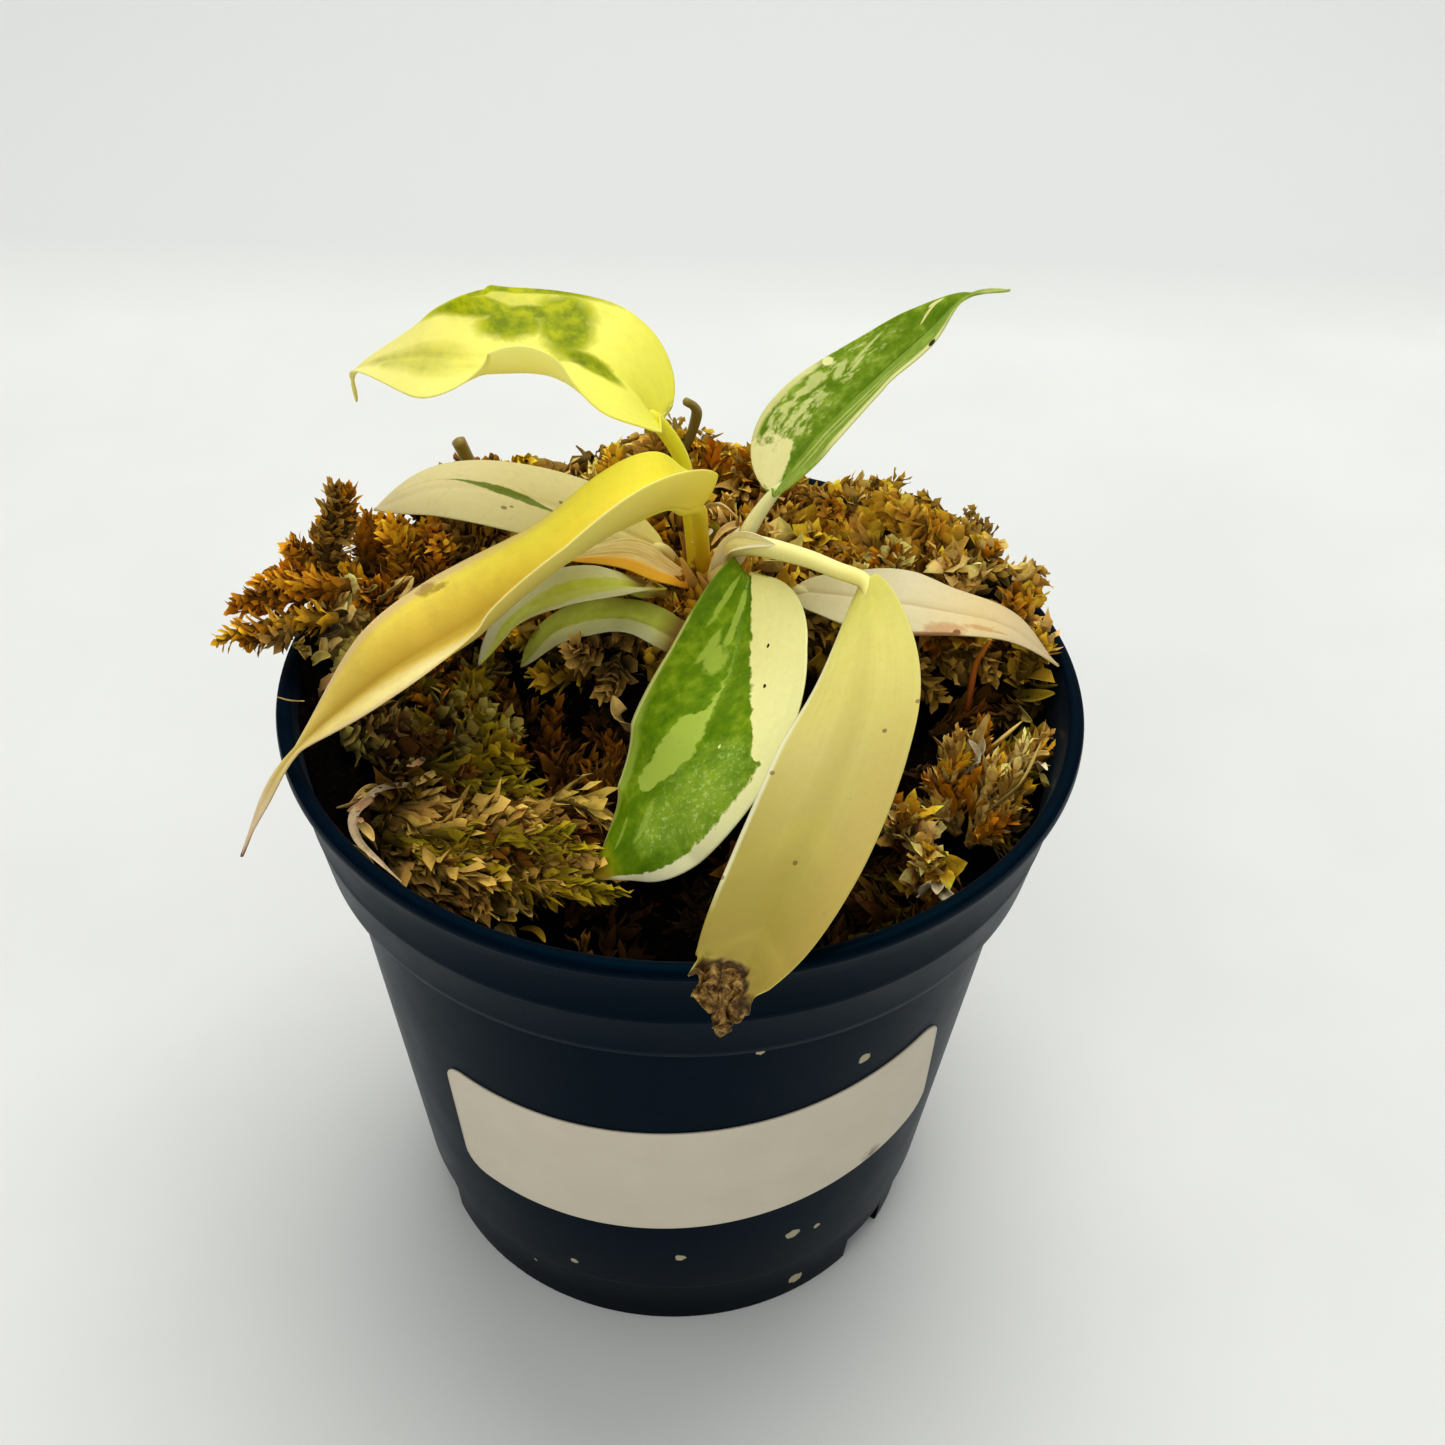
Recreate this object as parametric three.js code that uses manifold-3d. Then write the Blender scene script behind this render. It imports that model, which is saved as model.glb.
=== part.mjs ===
// A young philodendron with nine narrow variegated leaves, growing in sphagnum moss
// in a round nursery pot of thin plastic with a blank paper label.
//
// Millimetres, +Z up. The origin is the middle of the pot's underside.
// The front of the plant is at -Y, and +X is to the right of someone facing it.

import * as THREE from 'three';
import { mergeVertices } from 'three/addons/utils/BufferGeometryUtils.js';
import Module from 'manifold-3d';

const wasm = await Module();
wasm.setup();

// Driving dimensions

const GAP = 0.3;                 // clearance between pieces that touch

const POT = {
  height: 96, rimRadius: 55, lipHeight: 1.8, collarTopRadius: 54.2,
  collarHeight: 20, collarFootRadius: 51, bodyTopRadius: 48.6,
  footHeight: 11, bodyFootRadius: 40.6, footRadius: 38.6,
  wall: 1.4, floorRise: 1.2, floorThickness: 1.2, hubRadius: 10, footRing: 2.4,
  drainHoles: 6, drainRadius: 3.5, drainCircle: 23,
  notches: 3, firstNotch: 82, notchWidth: 9, notchHeight: 5, sides: 48,
};

const LABEL = {
  width: 76.2, height: 25.4, corner: 3.5, thickness: 0.5,
  azimuth: 5.4, middleZ: 42.8, tilt: 5.2, columns: 26,
};

const BLADE = { thickness: 0.7, alongSteps: 14, acrossSteps: 3, ribRadius: 0.9, petioleSteps: 10 };

const STEM = { radius: 3.3, base: [3, 19.5, 62], top: [3.5, 18.5, 98.5], sides: 9 };

// The moss surface falls from a high bank at the back to a trench along the front wall.
const MOSS = {
  trench: 77, bank: 22, bankAzimuth: 100, dish: 7, wallRadius: 50,
  mounds: [            // x, y, rise, spread
    [4, 17, 2, 11], [-15, -5, -10, 10], [-32, 0, -4, 12], [22, 8, -7, 8],
    [0, -26, 3, 12], [42, -8, 3, 9],
  ],
  rings: 8, seed: 11,
};

// Colours seen on the plant

const finish = (name, color, roughness) => {
  const material = new THREE.MeshStandardMaterial({ color, roughness, metalness: 0 });
  material.name = name;
  return material;
};
const FINISH = {
  potPlastic: finish('pot_plastic', 0x1b2630, 0.5),
  labelPaper: finish('label_paper', 0xe9e6dc, 0.75),
  leafLime: finish('leaf_lime', 0xc9c64a, 0.5),
  leafGold: finish('leaf_gold', 0xd9bd3e, 0.5),
  leafGreen: finish('leaf_green', 0x5f8f2a, 0.5),
  leafCream: finish('leaf_cream', 0xe2d78c, 0.5),
  drySheath: finish('dry_sheath', 0xb98a3f, 0.7),
  stemBrown: finish('stem_brown', 0x7d5d24, 0.7),
  mossRust: finish('moss_rust', 0x8a5a1c, 0.95),
  mossOlive: finish('moss_olive', 0x7f7433, 0.95),
  mossStraw: finish('moss_straw', 0xb59a5c, 0.95),
  mossBuff: finish('moss_buff', 0xb08a4a, 0.95),
  twigBark: finish('twig_bark', 0x5b4a22, 0.8),
};

// Small helpers

const vec = (p) => new THREE.Vector3(p[0], p[1], p[2]);
const radians = THREE.MathUtils.degToRad;
const clamp = THREE.MathUtils.clamp;
const lerp = THREE.MathUtils.lerp;

function smooth(edge0, edge1, x) {
  const t = clamp((x - edge0) / (edge1 - edge0), 0, 1);
  return t * t * (3 - 2 * t);
}

// A repeatable random stream (mulberry32).
function randomStream(seed) {
  let state = seed;
  return () => {
    state = (state + 0x6d2b79f5) | 0;
    let t = Math.imul(state ^ (state >>> 15), 1 | state);
    t = (t + Math.imul(t ^ (t >>> 7), 61 | t)) ^ t;
    return ((t ^ (t >>> 14)) >>> 0) / 4294967296;
  };
}

// A smooth row of numbers through rows of numbers, at t from 0 to 1 (uniform Catmull-Rom).
function rowAt(rows, t) {
  const last = rows.length - 1;
  const q = clamp(t, 0, 1) * last;
  const i = Math.min(Math.floor(q), last - 1);
  const w = q - i;
  return rows[i].map((_, c) => {
    const p1 = rows[i][c];
    const p2 = rows[i + 1][c];
    const p0 = i > 0 ? rows[i - 1][c] : 2 * p1 - p2;
    const p3 = i < last - 1 ? rows[i + 2][c] : 2 * p2 - p1;
    return 0.5 * (2 * p1 + (p2 - p0) * w + (2 * p0 - 5 * p1 + 4 * p2 - p3) * w * w
      + (3 * p1 - 3 * p2 + p3 - p0) * w * w * w);
  });
}

function geometryFrom(points, triangles) {
  const geometry = new THREE.BufferGeometry();
  geometry.setAttribute('position', new THREE.Float32BufferAttribute(points.flat(), 3));
  geometry.setIndex(triangles.flat());
  return geometry;
}

function solidFrom(geometry) {
  const bare = geometry.clone();
  for (const name of Object.keys(bare.attributes)) {
    if (name !== 'position') bare.deleteAttribute(name);
  }
  const merged = mergeVertices(bare, 1e-4);
  return new wasm.Manifold(new wasm.Mesh({
    numProp: 3,
    vertProperties: new Float32Array(merged.attributes.position.array),
    triVerts: new Uint32Array(merged.index.array),
  }));
}

function geometryOf(solid) {
  const mesh = solid.getMesh();
  const geometry = new THREE.BufferGeometry();
  geometry.setAttribute('position', new THREE.BufferAttribute(new Float32Array(mesh.vertProperties), 3));
  geometry.setIndex(new THREE.BufferAttribute(new Uint32Array(mesh.triVerts), 1));
  geometry.computeVertexNormals();
  return geometry;
}

const joined = (solids) => solids.reduce((sum, solid) => sum.add(solid));

// Booleans can leave loose scraps, so only the largest body is kept.
function largestBody(solid) {
  const bodies = solid.decompose();
  return bodies.reduce((best, body) => (body.volume() > best.volume() ? body : best));
}

// A closed skin over rings of points, all with the same count, with a point at each end.
function loft(rings, start, end) {
  const count = rings[0].length;
  const points = [start, ...rings.flat(), end];
  const triangles = [];
  const at = (ring, k) => 1 + ring * count + (k % count);
  for (let k = 0; k < count; k += 1) {
    triangles.push([0, at(0, k + 1), at(0, k)]);
    for (let ring = 0; ring < rings.length - 1; ring += 1) {
      triangles.push([at(ring, k), at(ring, k + 1), at(ring + 1, k + 1)]);
      triangles.push([at(ring, k), at(ring + 1, k + 1), at(ring + 1, k)]);
    }
    triangles.push([points.length - 1, at(rings.length - 1, k), at(rings.length - 1, k + 1)]);
  }
  return geometryFrom(points, triangles);
}

// Rings of a tube along a row of stations [x, y, z, radius].
// spikes: every second corner of every second ring is drawn outwards and forwards.
function tubeSolid(stations, steps, sides, spikes = null) {
  const rings = [];
  const reference = new THREE.Vector3(0.31, 0.17, 0.93).normalize();
  for (let i = 0; i <= steps; i += 1) {
    const t = i / steps;
    const [x, y, z, radius] = rowAt(stations, t);
    const ahead = vec(rowAt(stations, Math.min(t + 0.01, 1)));
    const forward = ahead.sub(vec(rowAt(stations, Math.max(t - 0.01, 0)))).normalize();
    const side = new THREE.Vector3().crossVectors(forward, reference).normalize();
    const over = new THREE.Vector3().crossVectors(forward, side);
    const ring = [];
    for (let k = 0; k < sides; k += 1) {
      const angle = 2 * Math.PI * (k + (spikes ? 0.5 * i : 0)) / sides;
      const isSpike = spikes && i > 0 && i < steps && (k + i) % 2 === 0;
      const reach = isSpike ? radius * spikes.reach : radius;
      const push = isSpike ? radius * spikes.lean : 0;
      const p = new THREE.Vector3(x, y, z)
        .addScaledVector(side, reach * Math.cos(angle))
        .addScaledVector(over, reach * Math.sin(angle))
        .addScaledVector(forward, push);
      ring.push(p.toArray());
    }
    rings.push(ring);
  }
  return solidFrom(loft(rings, rowAt(stations, 0).slice(0, 3), rowAt(stations, 1).slice(0, 3)));
}

// The pot

function potInside() {
  const collarZ = POT.height - POT.collarHeight;
  return [
    [POT.footRadius - POT.wall, POT.floorRise + POT.floorThickness],
    [POT.bodyFootRadius - POT.wall, POT.footHeight + 0.5],
    [POT.bodyTopRadius - POT.wall, collarZ - 0.6],
    [POT.collarFootRadius - POT.wall, collarZ + 0.2],
    [POT.collarTopRadius - POT.wall, POT.height - 0.5],
  ];
}

function potSolid() {
  const collarZ = POT.height - POT.collarHeight;
  const lipZ = POT.height - POT.lipHeight;
  const outline = [
    [0, 0], [POT.hubRadius, 0], [POT.hubRadius, POT.floorRise],
    [POT.footRadius - POT.footRing, POT.floorRise], [POT.footRadius - POT.footRing, 0],
    [POT.footRadius, 0], [POT.bodyFootRadius - 1, POT.footHeight - 0.6],
    [POT.bodyFootRadius, POT.footHeight], [POT.bodyTopRadius, collarZ - 0.6],
    [POT.collarFootRadius, collarZ], [POT.collarTopRadius, lipZ - 0.3],
    [POT.rimRadius, lipZ], [POT.rimRadius, POT.height - 0.5], [POT.rimRadius - 0.5, POT.height],
    [POT.collarTopRadius - POT.wall + 0.4, POT.height],
    ...potInside().reverse(), [0, POT.floorRise + POT.floorThickness],
  ];
  const lathe = new THREE.LatheGeometry(outline.map(([r, z]) => new THREE.Vector2(r, z)), POT.sides);
  lathe.rotateX(Math.PI / 2);
  let pot = solidFrom(lathe);
  for (let i = 0; i < POT.drainHoles; i += 1) {
    const angle = 2 * Math.PI * (i + 0.5) / POT.drainHoles;
    const hole = new THREE.CylinderGeometry(POT.drainRadius, POT.drainRadius, 10, 12);
    hole.rotateX(Math.PI / 2);
    hole.translate(POT.drainCircle * Math.cos(angle), POT.drainCircle * Math.sin(angle), 0);
    pot = pot.subtract(solidFrom(hole));
  }
  const arch = new THREE.Shape();
  arch.moveTo(-POT.notchWidth / 2, -1);
  arch.lineTo(POT.notchWidth / 2, -1);
  arch.lineTo(POT.notchWidth / 2, POT.notchHeight - 2);
  arch.lineTo(POT.notchWidth / 4, POT.notchHeight);
  arch.lineTo(-POT.notchWidth / 4, POT.notchHeight);
  arch.lineTo(-POT.notchWidth / 2, POT.notchHeight - 2);
  for (let i = 0; i < POT.notches; i += 1) {
    const cutter = new THREE.ExtrudeGeometry(arch, { depth: 6, bevelEnabled: false });
    cutter.rotateX(Math.PI / 2);
    cutter.rotateZ(Math.PI / 2);
    cutter.translate(POT.footRadius - 4, 0, 0);
    cutter.rotateZ(radians(POT.firstNotch + 360 * i / POT.notches));
    pot = pot.subtract(solidFrom(cutter));
  }
  return pot;
}

// The space that the moss may fill: inside the pot, and above its rim.
function mossRoom() {
  const inside = potInside().map(([r, z]) => [r - GAP, z + GAP]);
  const floor = inside[0][1];
  const outline = [[0, floor], ...inside, [inside[4][0], POT.height + GAP], [75, POT.height + GAP],
    [75, 130], [0, 130]];
  const lathe = new THREE.LatheGeometry(outline.map(([r, z]) => new THREE.Vector2(r, z)), POT.sides);
  lathe.rotateX(Math.PI / 2);
  return solidFrom(lathe);
}

// The label: a straight rectangle of paper with round corners, laid on the pot's cone and
// tilted. The cone is unrolled about its apex, so that straight edges stay straight.
function labelPoint(along, up, lift) {
  const slope = (POT.bodyTopRadius - POT.bodyFootRadius)
    / (POT.height - POT.collarHeight - 0.6 - POT.footHeight);
  const half = Math.atan(slope);
  const middleRadius = POT.bodyFootRadius + slope * (LABEL.middleZ - POT.footHeight);
  const apex = middleRadius / Math.sin(half);
  const tilt = radians(LABEL.tilt);
  const a = along * Math.cos(tilt) - up * Math.sin(tilt);
  const b = along * Math.sin(tilt) + up * Math.cos(tilt);
  const reach = Math.hypot(a, apex + b);
  const turn = Math.atan2(a, apex + b) / Math.sin(half) + radians(LABEL.azimuth);
  const radius = reach * Math.sin(half) + lift * Math.cos(half);
  const z = LABEL.middleZ + (reach - apex) * Math.cos(half) - lift * Math.sin(half);
  return [radius * Math.sin(turn), -radius * Math.cos(turn), z];
}

function labelSolid() {
  const halfWidth = LABEL.width / 2;
  const halfHeight = LABEL.height / 2;
  const stops = [];
  for (let k = 0; k <= 4; k += 1) {
    stops.push(-halfWidth + LABEL.corner * (1 - Math.cos(k * Math.PI / 8)));
  }
  const inner = LABEL.columns - 10;
  for (let k = 1; k < inner; k += 1) {
    stops.push(lerp(-halfWidth + LABEL.corner, halfWidth - LABEL.corner, k / inner));
  }
  for (let k = 4; k >= 0; k -= 1) {
    stops.push(halfWidth - LABEL.corner * (1 - Math.cos(k * Math.PI / 8)));
  }
  const low = GAP + 0.1;
  const high = low + LABEL.thickness;
  const rings = stops.map((along) => {
    const overhang = Math.max(Math.abs(along) - (halfWidth - LABEL.corner), 0);
    const drop = LABEL.corner - Math.sqrt(Math.max(LABEL.corner ** 2 - overhang ** 2, 0));
    const top = Math.max(halfHeight - drop, 0.3);
    return [
      labelPoint(along, -top, low), labelPoint(along, 0, low), labelPoint(along, top, low),
      labelPoint(along, top, high), labelPoint(along, 0, high), labelPoint(along, -top, high),
    ];
  });
  const middle = (low + high) / 2;
  return solidFrom(loft(rings, labelPoint(-halfWidth, 0, middle), labelPoint(halfWidth, 0, middle)));
}

// Leaves. Each row of stations is a place on the midrib, from the petiole to the tip:
//   [x, y, z, roll, foldA, curlA, foldB, curlB], millimetres and degrees.
// roll turns the upper side towards edge A. fold is the angle at the midrib by which a half
// is raised, and curl what it gains on its way to the edge. A is the edge on the right hand
// of someone who looks from the petiole to the tip with the upper side up.
// width: half width, where the belly is (0 to 1), roundness of the base, and the two powers
// that shape the tip. drip: length of the drip tip (0 to 1) and its half width.
// petiole: [x, y, z, radius] rows, from the stem to the blade.
const LEAVES = {
  leaf_upper_left: {
    stations: [
      [-4, 21.5, 123, 25, 30, 15, 20, 0], [-9.5, 21.5, 130, 25, 15, 20, 5, -10],
      [-18, 21.5, 132.5, 20, 10, 65, 5, -10], [-27, 19.5, 133, 20, 15, 80, 10, -10],
      [-36, 19.5, 133.5, 35, 0, 15, 8, -5], [-46, 28.5, 126, 30, 20, 10, 10, 0],
      [-48.5, 35, 117.5, 35, 15, 5, 10, 0],
    ],
    halfWidth: 13, belly: 0.49, base: 0.03, tip: [1.2, 1.6], drip: [0.08, 0.4], lobes: [0, 0],
    petiole: [[1.8, 20.2, 96.8, 1.2], [0.9, 21.6, 106, 1.2], [-0.7, 22.9, 116, 1.15], [-4, 21.5, 123, 1.1]],
    finish: FINISH.leafLime,
  },
  leaf_long_golden: {
    stations: [
      [1.5, 10.5, 116.5, 10, 60, 50, 20, 10], [-4, 6, 119.5, 20, 60, 50, 15, 5],
      [-15.5, -0.5, 115.5, 15, 40, 50, -10, -5], [-27.5, -6, 108.5, 20, 30, 60, 5, 0],
      [-38.4, -15, 106.3, 15, 25, 20, 15, 5], [-48.6, -20.7, 99.6, 5, 5, 0, 0, 0],
      [-53.6, -24, 92.6, 5, 0, -5, 0, 0], [-57.2, -25, 84.2, 0, 0, 0, 0, 0],
    ],
    halfWidth: 9, belly: 0.57, base: 0.3, tip: [1.5, 1.2], drip: [0.25, 0.8], lobes: [0, 2],
    petiole: [[3.1, 18.2, 97.5, 1.1], [2.5, 16.4, 104, 1.15], [2, 13.4, 111, 1.15], [1.5, 10.5, 116.5, 1.1]],
    finish: FINISH.leafGold,
  },
  leaf_upper_right: {
    stations: [
      [12, 19, 113.5, 5, 20, 0, 32, 4], [18, 23.5, 120.5, 0, 22, 2, 30, 2],
      [25.5, 27.5, 127, -2, 20, 0, 28, 0], [32, 29.5, 133, -4, 16, -3, 24, -4],
      [37.5, 31.5, 138, 0, 18, 0, 28, 0], [43.5, 32, 139, 0, 20, 0, 30, 0],
    ],
    halfWidth: 8.5, belly: 0.22, base: 0.03, tip: [1.7, 0.9], drip: [0.16, 0.5], lobes: [0, 0],
    petiole: [[5.5, 19.4, 96, 1.4], [7.2, 19.3, 102, 1.6], [9.2, 18.8, 108.5, 1.5], [12, 19, 113.5, 1.1]],
    finish: FINISH.leafGreen,
  },
  leaf_front_hanging: {
    stations: [
      [23.4, -4.5, 115.7, -45, 10, 5, -10, -10], [22.7, -19.4, 112.5, -23, 2, 0, -6, -7],
      [19.4, -31.8, 108.6, -12, 8, 0, 3, 0], [14.4, -42.9, 104.4, -8, 4, 0, 0, -4],
      [9.9, -51.8, 99.4, -11, 10, 4, 4, 0], [4.9, -61.5, 96.9, -12, 14, 6, 6, 0],
    ],
    halfWidth: 8.4, belly: 0.42, base: 0.03, tip: [3.1, 0.4], drip: [0, 0.3], lobes: [0, 0],
    petiole: [
      [4.3, 16.5, 94.5, 1.3], [4.6, 14.6, 103, 1.4], [6.1, 14.7, 106.8, 1.4],
      [9.1, 9.2, 111.7, 1.5], [15.2, 1.2, 115.6, 1.3], [19.5, -2.7, 116.4, 1.2],
      [23.4, -4.5, 115.7, 1.1],
    ],
    finish: FINISH.leafCream,
  },
  leaf_front_half_green: {
    stations: [
      [8.8, 6.4, 108.5, -25, 13, -3, 0, -14], [7.4, -6.5, 103.3, -19, 18, -1, 6, -10],
      [2.5, -18.6, 99.9, -12, 8, -8, 0, -14], [-3.8, -25.3, 92.5, -2, 1, -12, 0, -14],
      [-9.9, -28.1, 85.7, 16, -9, -20, 2, -12],
    ],
    halfWidth: 12.7, belly: 0.43, base: 0.03, tip: [2.4, 0.9], drip: [0, 0.3], lobes: [-1, 4],
    petiole: [[5.6, 17.2, 89, 1.3], [7, 13, 96, 1.2], [8.2, 9.6, 103, 1.15], [8.8, 6.4, 108.5, 1.1]],
    finish: FINISH.leafGreen,
  },
  leaf_left_cream: {
    stations: [
      [-3.5, 24, 100.3, 20, 5, -10, 5, -10], [-11, 23.1, 104.7, 20, 5, -10, 5, -10],
      [-22.6, 24, 108.4, 17, 5, -10, 5, -10], [-34.6, 25, 109.4, 17, 2, -10, 0, -14],
      [-44.6, 23.5, 106.4, 20, 5, -10, 5, -10],
    ],
    halfWidth: 6.5, belly: 0.46, base: 0.03, tip: [2, 0.8], drip: [0, 0.3], lobes: [0, 0],
    petiole: [[2, 20.2, 90.8, 1.2], [-0.2, 22.3, 95.4, 1.1], [-1.9, 23.6, 98.6, 1.05], [-3.5, 24, 100.3, 1]],
    finish: FINISH.leafCream,
  },
  leaf_small_upper: {
    stations: [
      [-4.4, 12.8, 101.3, 5, 24, 14, 6, 0], [-10.4, 6.5, 106.2, 12, 20, 12, 4, 0],
      [-16.9, 4.3, 106.4, 15, 15, 10, 6, 0], [-23.7, 5.5, 100.7, 18, 15, 10, 9, 0],
      [-28.7, 5.2, 92.9, 20, 18, 10, 14, 4],
    ],
    halfWidth: 4, belly: 0.45, base: 0.3, tip: [2.1, 0.7], drip: [0, 0.3], lobes: [0, 0],
    petiole: [[1.4, 18.2, 92.5, 1.2], [-1, 16.8, 96.5, 1.1], [-2.8, 14.8, 99.2, 1], [-4.4, 13, 101.2, 1]],
    finish: FINISH.leafGreen,
  },
  leaf_small_lower: {
    stations: [
      [0.5, 6.5, 96.5, 30, 5, 5, 5, 0], [-6.5, 8, 99.5, 15, 10, 5, 5, -5],
      [-13, 8.5, 99, 15, 10, 5, 0, -5], [-18.5, 9, 96, 20, 10, 5, 4, -4],
      [-23, 7.5, 91, 25, 14, 10, 10, 0],
    ],
    halfWidth: 3.6, belly: 0.46, base: 0.3, tip: [2.1, 0.8], drip: [0, 0.3], lobes: [0, 0],
    petiole: [[3.2, 16.8, 88, 1.2], [2.6, 12.6, 91, 1.1], [1.8, 9.2, 94, 1], [0.5, 6.5, 96.5, 1]],
    finish: FINISH.leafGreen,
  },
  leaf_right_cream: {
    stations: [
      [16, 15, 100, -15, 5, -10, 5, -10], [24.5, 11, 102, -15, 5, -10, 5, -10],
      [34.5, 8, 102.5, -13, 5, -10, 6, -10], [44.8, 6.2, 101, -8, 5, -10, 12, -6],
      [52.2, 2.9, 96.9, -10, 2, -10, 6, -10],
    ],
    halfWidth: 5.8, belly: 0.42, base: 0.03, tip: [1.25, 1], drip: [0, 0.3], lobes: [0, 0],
    petiole: [[5.7, 19.8, 91.5, 1.2], [9.2, 18, 95, 1.1], [12.8, 16.2, 98, 1.05], [16, 15, 100, 1]],
    finish: FINISH.leafCream,
  },
  dry_sheath_left: {
    stations: [
      [0.7, 18.2, 98.6, 30, 10, 0, 10, 0], [-3.5, 15.5, 102.8, 25, 10, 0, 10, 0],
      [-7.5, 15.2, 105.2, 25, 10, 0, 10, 0], [-12, 15.4, 105.1, 18, 10, 0, 6, -4],
      [-16.9, 16, 103.9, 25, 10, 0, 10, 0],
    ],
    halfWidth: 2.8, belly: 0.38, base: 0.1, tip: [1.8, 0.8], drip: [0, 0.3], lobes: [0, 0],
    petiole: null,
    finish: FINISH.drySheath,
  },
};

function halfWidthAt(leaf, t) {
  const [dripLength, dripHalf] = leaf.drip;
  const x = clamp(t / (1 - dripLength), 0, 1);
  const q = 1 - (x + leaf.base * leaf.belly) / (leaf.belly * (1 + leaf.base));
  const rise = Math.sqrt(clamp(1 - q * q, 0, 1));
  const v = clamp((x - leaf.belly) / (1 - leaf.belly), 0, 1);
  const fall = (1 - v ** leaf.tip[0]) ** leaf.tip[1];
  const narrow = dripLength > 0 ? dripHalf * Math.sqrt(clamp((1 - t) / 0.04, 0.2, 1)) : dripHalf;
  return Math.max(leaf.halfWidth * (x < leaf.belly ? rise : fall), narrow);
}

// The midrib's place, direction, upper side and edge A direction at t.
function midribFrame(leaf, t) {
  const step = 1e-3;
  const row = rowAt(leaf.stations, t);
  const forward = vec(rowAt(leaf.stations, Math.min(t + step, 1)))
    .sub(vec(rowAt(leaf.stations, Math.max(t - step, 0)))).normalize();
  const up = new THREE.Vector3(0, 0, 1).addScaledVector(forward, -forward.z).normalize();
  const across = new THREE.Vector3().crossVectors(up, forward);
  const roll = radians(row[3]);
  const face = up.clone().multiplyScalar(Math.cos(roll)).addScaledVector(across, Math.sin(roll));
  const edge = new THREE.Vector3().crossVectors(face, forward);
  return { row, place: vec(row), forward, face, edge };
}

// A point of the blade: t along the midrib, s across from -1 (edge B) to 1 (edge A).
function bladePoint(leaf, t, s, grow) {
  const { row, place, forward, face, edge } = midribFrame(leaf, t);
  const isA = s > 0;
  const q = Math.abs(s);
  const fold = radians(isA ? row[4] : row[6]);
  const curl = radians(isA ? row[5] : row[7]) * q;
  const straightness = Math.abs(curl) < 1e-6 ? 1 : Math.sin(curl / 2) / (curl / 2);
  const chord = (halfWidthAt(leaf, t) + grow) * q * straightness;
  const rise = fold + curl / 2;
  const lobe = leaf.lobes[isA ? 0 : 1] * Math.max(1 - t / 0.22, 0) ** 1.5 * q ** 1.3;
  return place
    .addScaledVector(edge, Math.sign(s) * chord * Math.cos(rise))
    .addScaledVector(face, chord * Math.sin(rise))
    .addScaledVector(forward, grow * (2 * t - 1) - lobe);
}

// The blade as a closed plate: both faces are split into triangles alike.
function bladeSolid(leaf, thickness, grow = 0) {
  const rows = BLADE.alongSteps;
  const columns = 2 * BLADE.acrossSteps;
  const points = [];
  const upper = (i, j) => i * (columns + 1) + j;
  const lower = (i, j) => (rows + 1) * (columns + 1) + upper(i, j);
  const sheet = [];
  for (let i = 0; i <= rows; i += 1) {
    for (let j = 0; j <= columns; j += 1) {
      sheet.push(bladePoint(leaf, i / rows, j / BLADE.acrossSteps - 1, grow));
    }
  }
  const normals = sheet.map((_, n) => {
    const i = Math.floor(n / (columns + 1));
    const j = n % (columns + 1);
    const along = sheet[upper(Math.min(i + 1, rows), j)].clone().sub(sheet[upper(Math.max(i - 1, 0), j)]);
    const across = sheet[upper(i, Math.min(j + 1, columns))].clone().sub(sheet[upper(i, Math.max(j - 1, 0))]);
    return new THREE.Vector3().crossVectors(along, across).normalize();
  });
  for (const side of [0.5, -0.5]) {
    sheet.forEach((p, n) => points.push(p.clone().addScaledVector(normals[n], side * thickness).toArray()));
  }
  const triangles = [];
  const quad = (a, b, c, d) => triangles.push([a, b, c], [a, c, d]);
  for (let i = 0; i < rows; i += 1) {
    for (let j = 0; j < columns; j += 1) {
      quad(upper(i, j), upper(i + 1, j), upper(i + 1, j + 1), upper(i, j + 1));
      triangles.push([lower(i, j), lower(i + 1, j + 1), lower(i + 1, j)]);
      triangles.push([lower(i, j), lower(i, j + 1), lower(i + 1, j + 1)]);
    }
    quad(upper(i, 0), lower(i, 0), lower(i + 1, 0), upper(i + 1, 0));
    quad(upper(i, columns), upper(i + 1, columns), lower(i + 1, columns), lower(i, columns));
  }
  for (let j = 0; j < columns; j += 1) {
    quad(upper(0, j), upper(0, j + 1), lower(0, j + 1), lower(0, j));
    quad(upper(rows, j), lower(rows, j), lower(rows, j + 1), upper(rows, j + 1));
  }
  return solidFrom(geometryFrom(points, triangles));
}

// The stations of a tube that is thicker all round, and longer at its start.
function thicker(rows, grow) {
  const [first, second] = rows.map(vec);
  const start = first.clone().add(first.clone().sub(second).setLength(grow));
  return rows.map(([x, y, z, r], i) => (i === 0 ? [...start.toArray(), r + grow] : [x, y, z, r + grow]));
}

// The petiole runs on under the blade as a midrib that thins out.
function petioleRows(leaf) {
  const rows = [...leaf.petiole];
  for (const t of [0.08, 0.2]) {
    const { place, face } = midribFrame(leaf, t);
    const under = place.addScaledVector(face, -BLADE.thickness / 2);
    rows.push([...under.toArray(), BLADE.ribRadius * (1 - 2 * t)]);
  }
  return rows;
}

function leafSolid(leaf, grow = 0) {
  const blade = bladeSolid(leaf, BLADE.thickness + 2 * grow, grow);
  if (!leaf.petiole) return blade;
  return blade.add(tubeSolid(thicker(petioleRows(leaf), grow), BLADE.petioleSteps, 6));
}

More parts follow.
